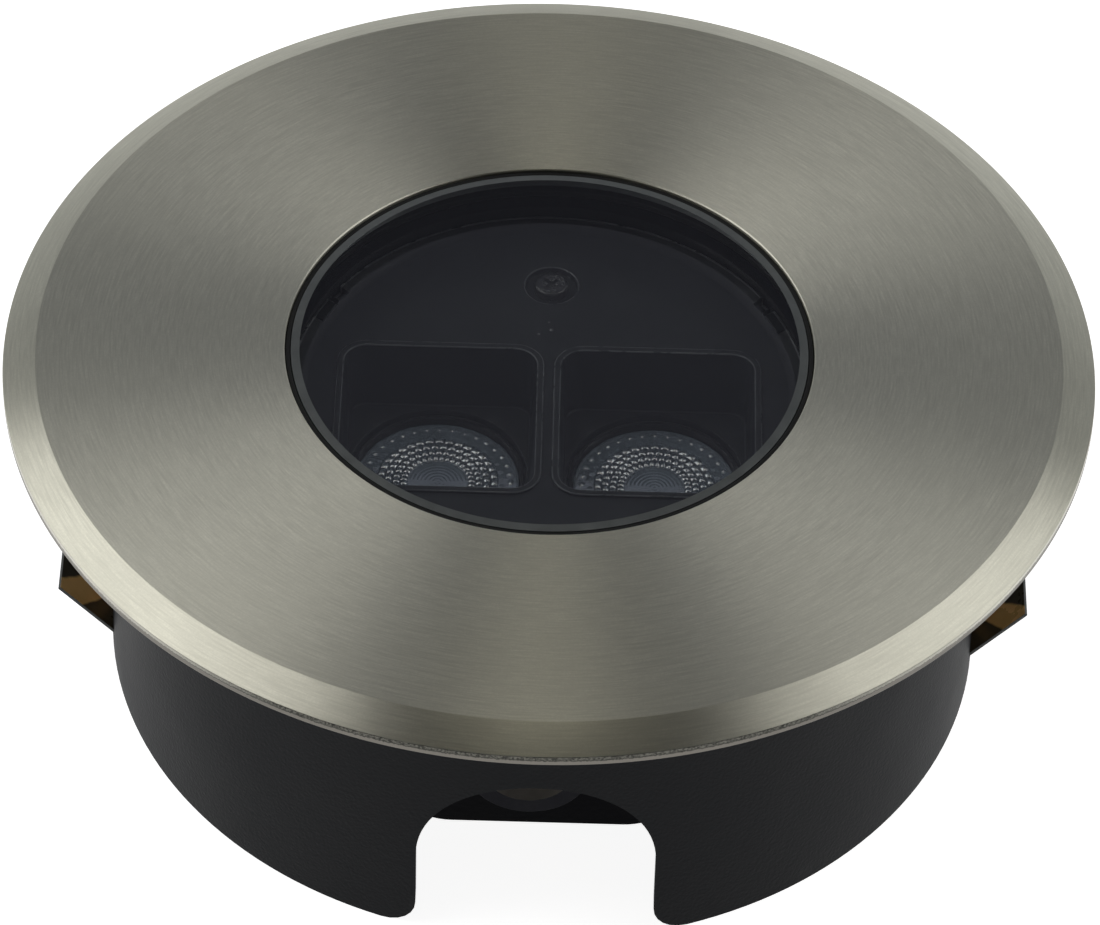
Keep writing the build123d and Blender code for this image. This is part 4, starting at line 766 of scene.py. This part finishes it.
def makeClipArm(side, sign):
    # the middle line of the strip and its square direction, in the plane of the bend
    turn = np.radians(np.linspace(-90, -90 + clip["rise"], 9))
    rise = math.radians(clip["rise"])
    bend = np.stack([np.cos(turn), np.sin(turn)], -1)
    start = np.array([clip["bendX"], clip["bendZ"]]) + clip["bendRadius"] * bend[-1]
    run = start + np.linspace(0, clip["length"], 12)[1:, None] * (math.cos(rise), math.sin(rise))
    line = np.concatenate([(clip["bendX"], clip["bendZ"]) + clip["bendRadius"] * bend, run])
    square = np.concatenate([bend, np.repeat(bend[-1:], len(run), axis=0)]) * clip["thickness"] / 2
    loop = np.concatenate([line + square, (line - square)[::-1]])
    across = np.linspace(-1, 1, 9) * clip["halfWidth"]
    points = np.stack([np.tile(sign * loop[:, 0], (9, 1)), np.repeat(across[:, None], len(loop), 1), np.tile(loop[:, 1], (9, 1))], -1)
    # painted shade on the cut tip ends and the flanks (look 1)
    ends = np.zeros(len(loop), int)
    ends[[len(line) - 1, -1]] = 1
    sheet = gridPatch(points, wrapColumns=True, look=np.tile(ends, 8))
    rows = np.arange(len(line) - 1)
    flank = np.stack([rows, rows + 1, len(loop) - 2 - rows, len(loop) - 1 - rows], -1)
    flanks = [(points[k], flank, 1) for k in (0, -1)]
    buildPiece("clip_arm_strip_" + side, [sheet, *flanks], [finishes["spring_strip"], stripEdgeShade], "clip_arm_" + side,
               "spring_strip", "clip_arm_" + side, sharp=50, bevel=clip["bevel"])


for side, sign in (("left", -1), ("right", 1)):
    makeClipArm(side, sign)
print("clips made")

# ---- skirt: a flanged cylinder with an arched notch, clip slots and clip seats ----
skirt = dict(innerRadius=59.75, flangeRadius=48.5, flange=2.5, notchHalf=16.4, notchSpring=14.6, notchFoot=4.8,
             slotHalf=10.4, slotLow=3.6, slotHeight=8.0, seat=58.638, seatTop=38.5, seatStep=0.25, bevel=0.35)


def makeSkirt():
    outerRadius, top = highest("mounting_skirt")[0], highest("mounting_skirt")[2]
    half, foot, springLine = skirt["notchHalf"], skirt["notchFoot"], skirt["notchSpring"]
    # the notch outline from its right foot over the arch to its left foot
    quarter = np.linspace(0, np.pi / 2, 7)[1:]
    footArc = np.stack([half + foot - foot * np.sin(quarter), foot - foot * np.cos(quarter)], -1)
    upright = np.stack([np.full(4, half), np.linspace(foot, springLine, 5)[1:]], -1)
    turn = np.linspace(0, np.pi, 41)[1:-1]
    arch = np.stack([half * np.cos(turn), springLine + half * np.sin(turn)], -1)
    rightSide = np.concatenate([[(half + foot, 0)], footArc, upright])
    outline = np.concatenate([rightSide, arch, rightSide[::-1] * (-1, 1)])
    # other columns: even steps round, and the sides of the slots and seats where y is constant
    slotY = np.concatenate([[-skirt["slotHalf"] - skirt["seatStep"]], np.linspace(-1, 1, 9) * skirt["slotHalf"],
                            [skirt["slotHalf"] + skirt["seatStep"]]])
    footX = half + foot

    def columnsAt(radius):
        # angle from the front of every column, on a cylinder of that radius
        footAngle = np.arcsin(footX / radius)
        window = np.pi / 2 + np.arcsin(slotY / radius)
        front = np.linspace(footAngle, window[0], 30)[1:-1]
        rear = np.linspace(window[-1], 2 * np.pi - window[-1], 80)[1:-1]
        mirrored = 2 * np.pi - window[::-1]
        frontLeft = np.linspace(mirrored[-1], 2 * np.pi - footAngle, 30)[1:-1]
        notch = np.arcsin(outline[:, 0] / radius)
        return notch, np.concatenate([window * 0 + window, []]), np.concatenate([front, window, rear, mirrored, frontLeft])

    rest = len(columnsAt(outerRadius)[2])
    slotColumns = np.zeros(len(outline) + rest, bool)
    seatColumns = np.zeros(len(outline) + rest, bool)
    for begin in (28, 28 + len(slotY) + 78):
        first = len(outline) + begin
        slotColumns[first + 1:first + len(slotY) - 2] = True
        seatColumns[first + 1:first + len(slotY) - 1] = True
    slotTop = skirt["slotLow"] + skirt["slotHeight"]
    levels = np.concatenate([[0], np.linspace(skirt["slotLow"], slotTop, 3), np.linspace(slotTop, skirt["seatTop"], 7)[1:],
                             [skirt["seatTop"] + skirt["seatStep"], (skirt["seatTop"] + top) / 2, top]])
    share = (levels / top)[:, None]

    def wall(radius, highLevel):
        notch, _, others = columnsAt(radius)
        footAngle = np.arcsin(footX / radius)
        lowAngle = np.concatenate([notch[::-1], others])
        # above the arch the columns stand upright; beside it they spread out a little
        spreadX = np.linspace(footX, half, len(rightSide))
        topX = np.concatenate([spreadX, half * np.cos(turn), -spreadX[::-1]])
        highAngle = np.concatenate([np.arcsin(topX / radius)[::-1], others])
        low = np.concatenate([outline[::-1, 1], np.zeros(rest)])
        angle = lowAngle + (highAngle - lowAngle) * share
        height = low + (top - low) * share
        height[-1] = highLevel
        reach = np.full(angle.shape, radius)
        if radius < outerRadius:
            seated = seatColumns[None, :] & (levels <= skirt["seatTop"])[:, None]
            reach = np.where(seated, skirt["seat"] / np.abs(np.sin(angle)), reach)
        ring = [np.stack([r * np.sin(highAngle), -r * np.cos(highAngle), np.full(len(highAngle), highLevel)], -1)
                for r in ((skirt["innerRadius"] + skirt["flangeRadius"]) / 2, skirt["flangeRadius"])]
        side = np.stack([reach * np.sin(angle), -reach * np.cos(angle), height], -1)
        return np.concatenate([side, ring])

    outer, inner = wall(outerRadius, top), wall(skirt["innerRadius"], top - skirt["flange"])
    keep = np.ones((len(outer) - 1, outer.shape[1]), bool)
    keep[1:3, slotColumns] = False
    buildPiece("skirt", [thickSheet(outer, inner, keep)], [finishes["black_coating"]], "root", "black_coating",
               "mounting_skirt", sharp=40, bevel=skirt["bevel"])


makeSkirt()
print("skirt made")

# ---- camera ----
view = dict(distance=850.7, rise=43.384, aim=(0.461, -23.078, 0.0), lens=200.167, roll=1.608)
rise = math.radians(view["rise"])
aim = (Vector(view["aim"]) + Vector((0, 0, plateTop))) * mm
eye = Vector((0, -math.cos(rise), math.sin(rise))) * view["distance"] * mm + Vector((0, 0, plateTop)) * mm
cameraData = bpy.data.cameras.new("photo view")
cameraData.lens, cameraData.sensor_width, cameraData.clip_end = view["lens"], 36.0, 50.0
camera = bpy.data.objects.new("photo view", cameraData)
look = (aim - eye).to_track_quat("-Z", "Y").to_matrix().to_4x4()
camera.matrix_world = Matrix.Translation(eye) @ look @ Matrix.Rotation(math.radians(view["roll"]), 4, "Z")
bpy.context.scene.collection.objects.link(camera)
bpy.context.scene.camera = camera

# ---- floor, sky and soft boxes ----
studio = dict(floorSize=6.0, floorTone=0.6, floorGlow=0.92, mirrorGlow=0.8, horizon=0.5, zenith=0.307, horizonEnd=0.3, ceiling=0.01, ceilingFrom=0.804,
              ceilingTo=0.838, front=0.13, back=1.9, tint=(0.96, 1.0, 1.03), card=(0.0, 0.727, 0.687), cardTone=rgb(0.42, 0.43, 0.52))
floorMesh = bpy.data.meshes.new("floor")
edge = studio["floorSize"] / 2
floorMesh.from_pydata([(-edge, -edge, 0), (edge, -edge, 0), (edge, edge, 0), (-edge, edge, 0)], [], [(0, 1, 2, 3)])
floor = bpy.data.objects.new("floor", floorMesh)
bpy.context.scene.collection.objects.link(floor)
floorFinish, floorTree, floorShader, floorPlace = startFinish("pale floor")
tone = studio["floorTone"]
paper = addNode(floorTree, "TexNoise", {"Vector": floorPlace, "Scale": 40.0, "Detail": 2.0}).outputs[0]
floorTree.links.new(mixColours(floorTree, paper, rgb(tone, tone, tone), rgb(tone + 0.03, tone + 0.03, tone + 0.03)),
                    floorShader.inputs["Base Color"])
setShader(floorTree, floorShader, {"Roughness": 0.9, "Specular IOR Level": 0.1, "Emission Color": rgb(1, 1, 1)})
seen = addNode(floorTree, "LightPath").outputs
mirrored = calc(floorTree, "MAXIMUM", seen["Is Glossy Ray"], seen["Is Transmission Ray"])
backdrop = calc(floorTree, "MAXIMUM", calc(floorTree, "MULTIPLY", seen["Is Camera Ray"], studio["floorGlow"]),
                calc(floorTree, "MULTIPLY", mirrored, studio["mirrorGlow"]))
floorTree.links.new(backdrop, floorShader.inputs["Emission Strength"])
floorMesh.materials.append(floorFinish)

world = bpy.data.worlds.new("studio")
bpy.context.scene.world = world
world.use_nodes = True
sky = world.node_tree
ends = addNode(sky, "SeparateXYZ", {0: addNode(sky, "TexCoord").outputs["Generated"]}).outputs
glow = spread(sky, ends[2], studio["horizon"], studio["zenith"], 0.05, studio["horizonEnd"])
glow = calc(sky, "MULTIPLY", glow, spread(sky, ends[2], 1.0, studio["ceiling"], studio["ceilingFrom"], studio["ceilingTo"]))
glow = calc(sky, "MULTIPLY", glow, spread(sky, ends[1], studio["front"], 1.0, -0.6, -0.05))
glow = calc(sky, "MULTIPLY", glow, spread(sky, ends[1], 1.0, studio["back"], 0.7, 0.98))
# a dark card stands where the window would otherwise mirror the sky
way = addNode(sky, "VectorMath", {0: addNode(sky, "TexCoord").outputs["Generated"], 1: studio["card"]}, operation="DOT_PRODUCT")
card = mixColours(sky, spread(sky, way.outputs["Value"], 0.0, 1.0, 0.962, 0.988), rgb(*studio["tint"]), studio["cardTone"])
paint = addNode(sky, "VectorMath", {0: card, "Scale": glow}, operation="SCALE").outputs[0]
sky.links.new(paint, sky.nodes["Background"].inputs["Color"])


def softBox(name, direction, distance, size, power, colour=(1, 1, 1)):
    # a rectangular lamp that faces the light
    lamp = bpy.data.lights.new(name, "AREA")
    lamp.shape, lamp.size, lamp.size_y, lamp.energy, lamp.color = "RECTANGLE", size[0], size[1], power, colour
    box = bpy.data.objects.new(name, lamp)
    place = Vector(direction).normalized() * distance
    box.matrix_world = Matrix.Translation(place) @ (-place).to_track_quat("-Z", "Y").to_matrix().to_4x4()
    box.visible_camera = False
    bpy.context.scene.collection.objects.link(box)


softBox("soft box left", (-0.649, 0.126, 0.74), 1.6, (1.5, 1.5), 11.5)
softBox("soft box right", (0.606, 0.13, 0.76), 1.6, (1.19, 1.19), 6.9)
softBox("strip box above", (0.0, 0.215, 0.95), 1.6, (0.14, 0.4), 0.66, (1.0, 0.97, 0.84))

bpy.context.scene.view_settings.view_transform = "Standard"
print("scene ready")
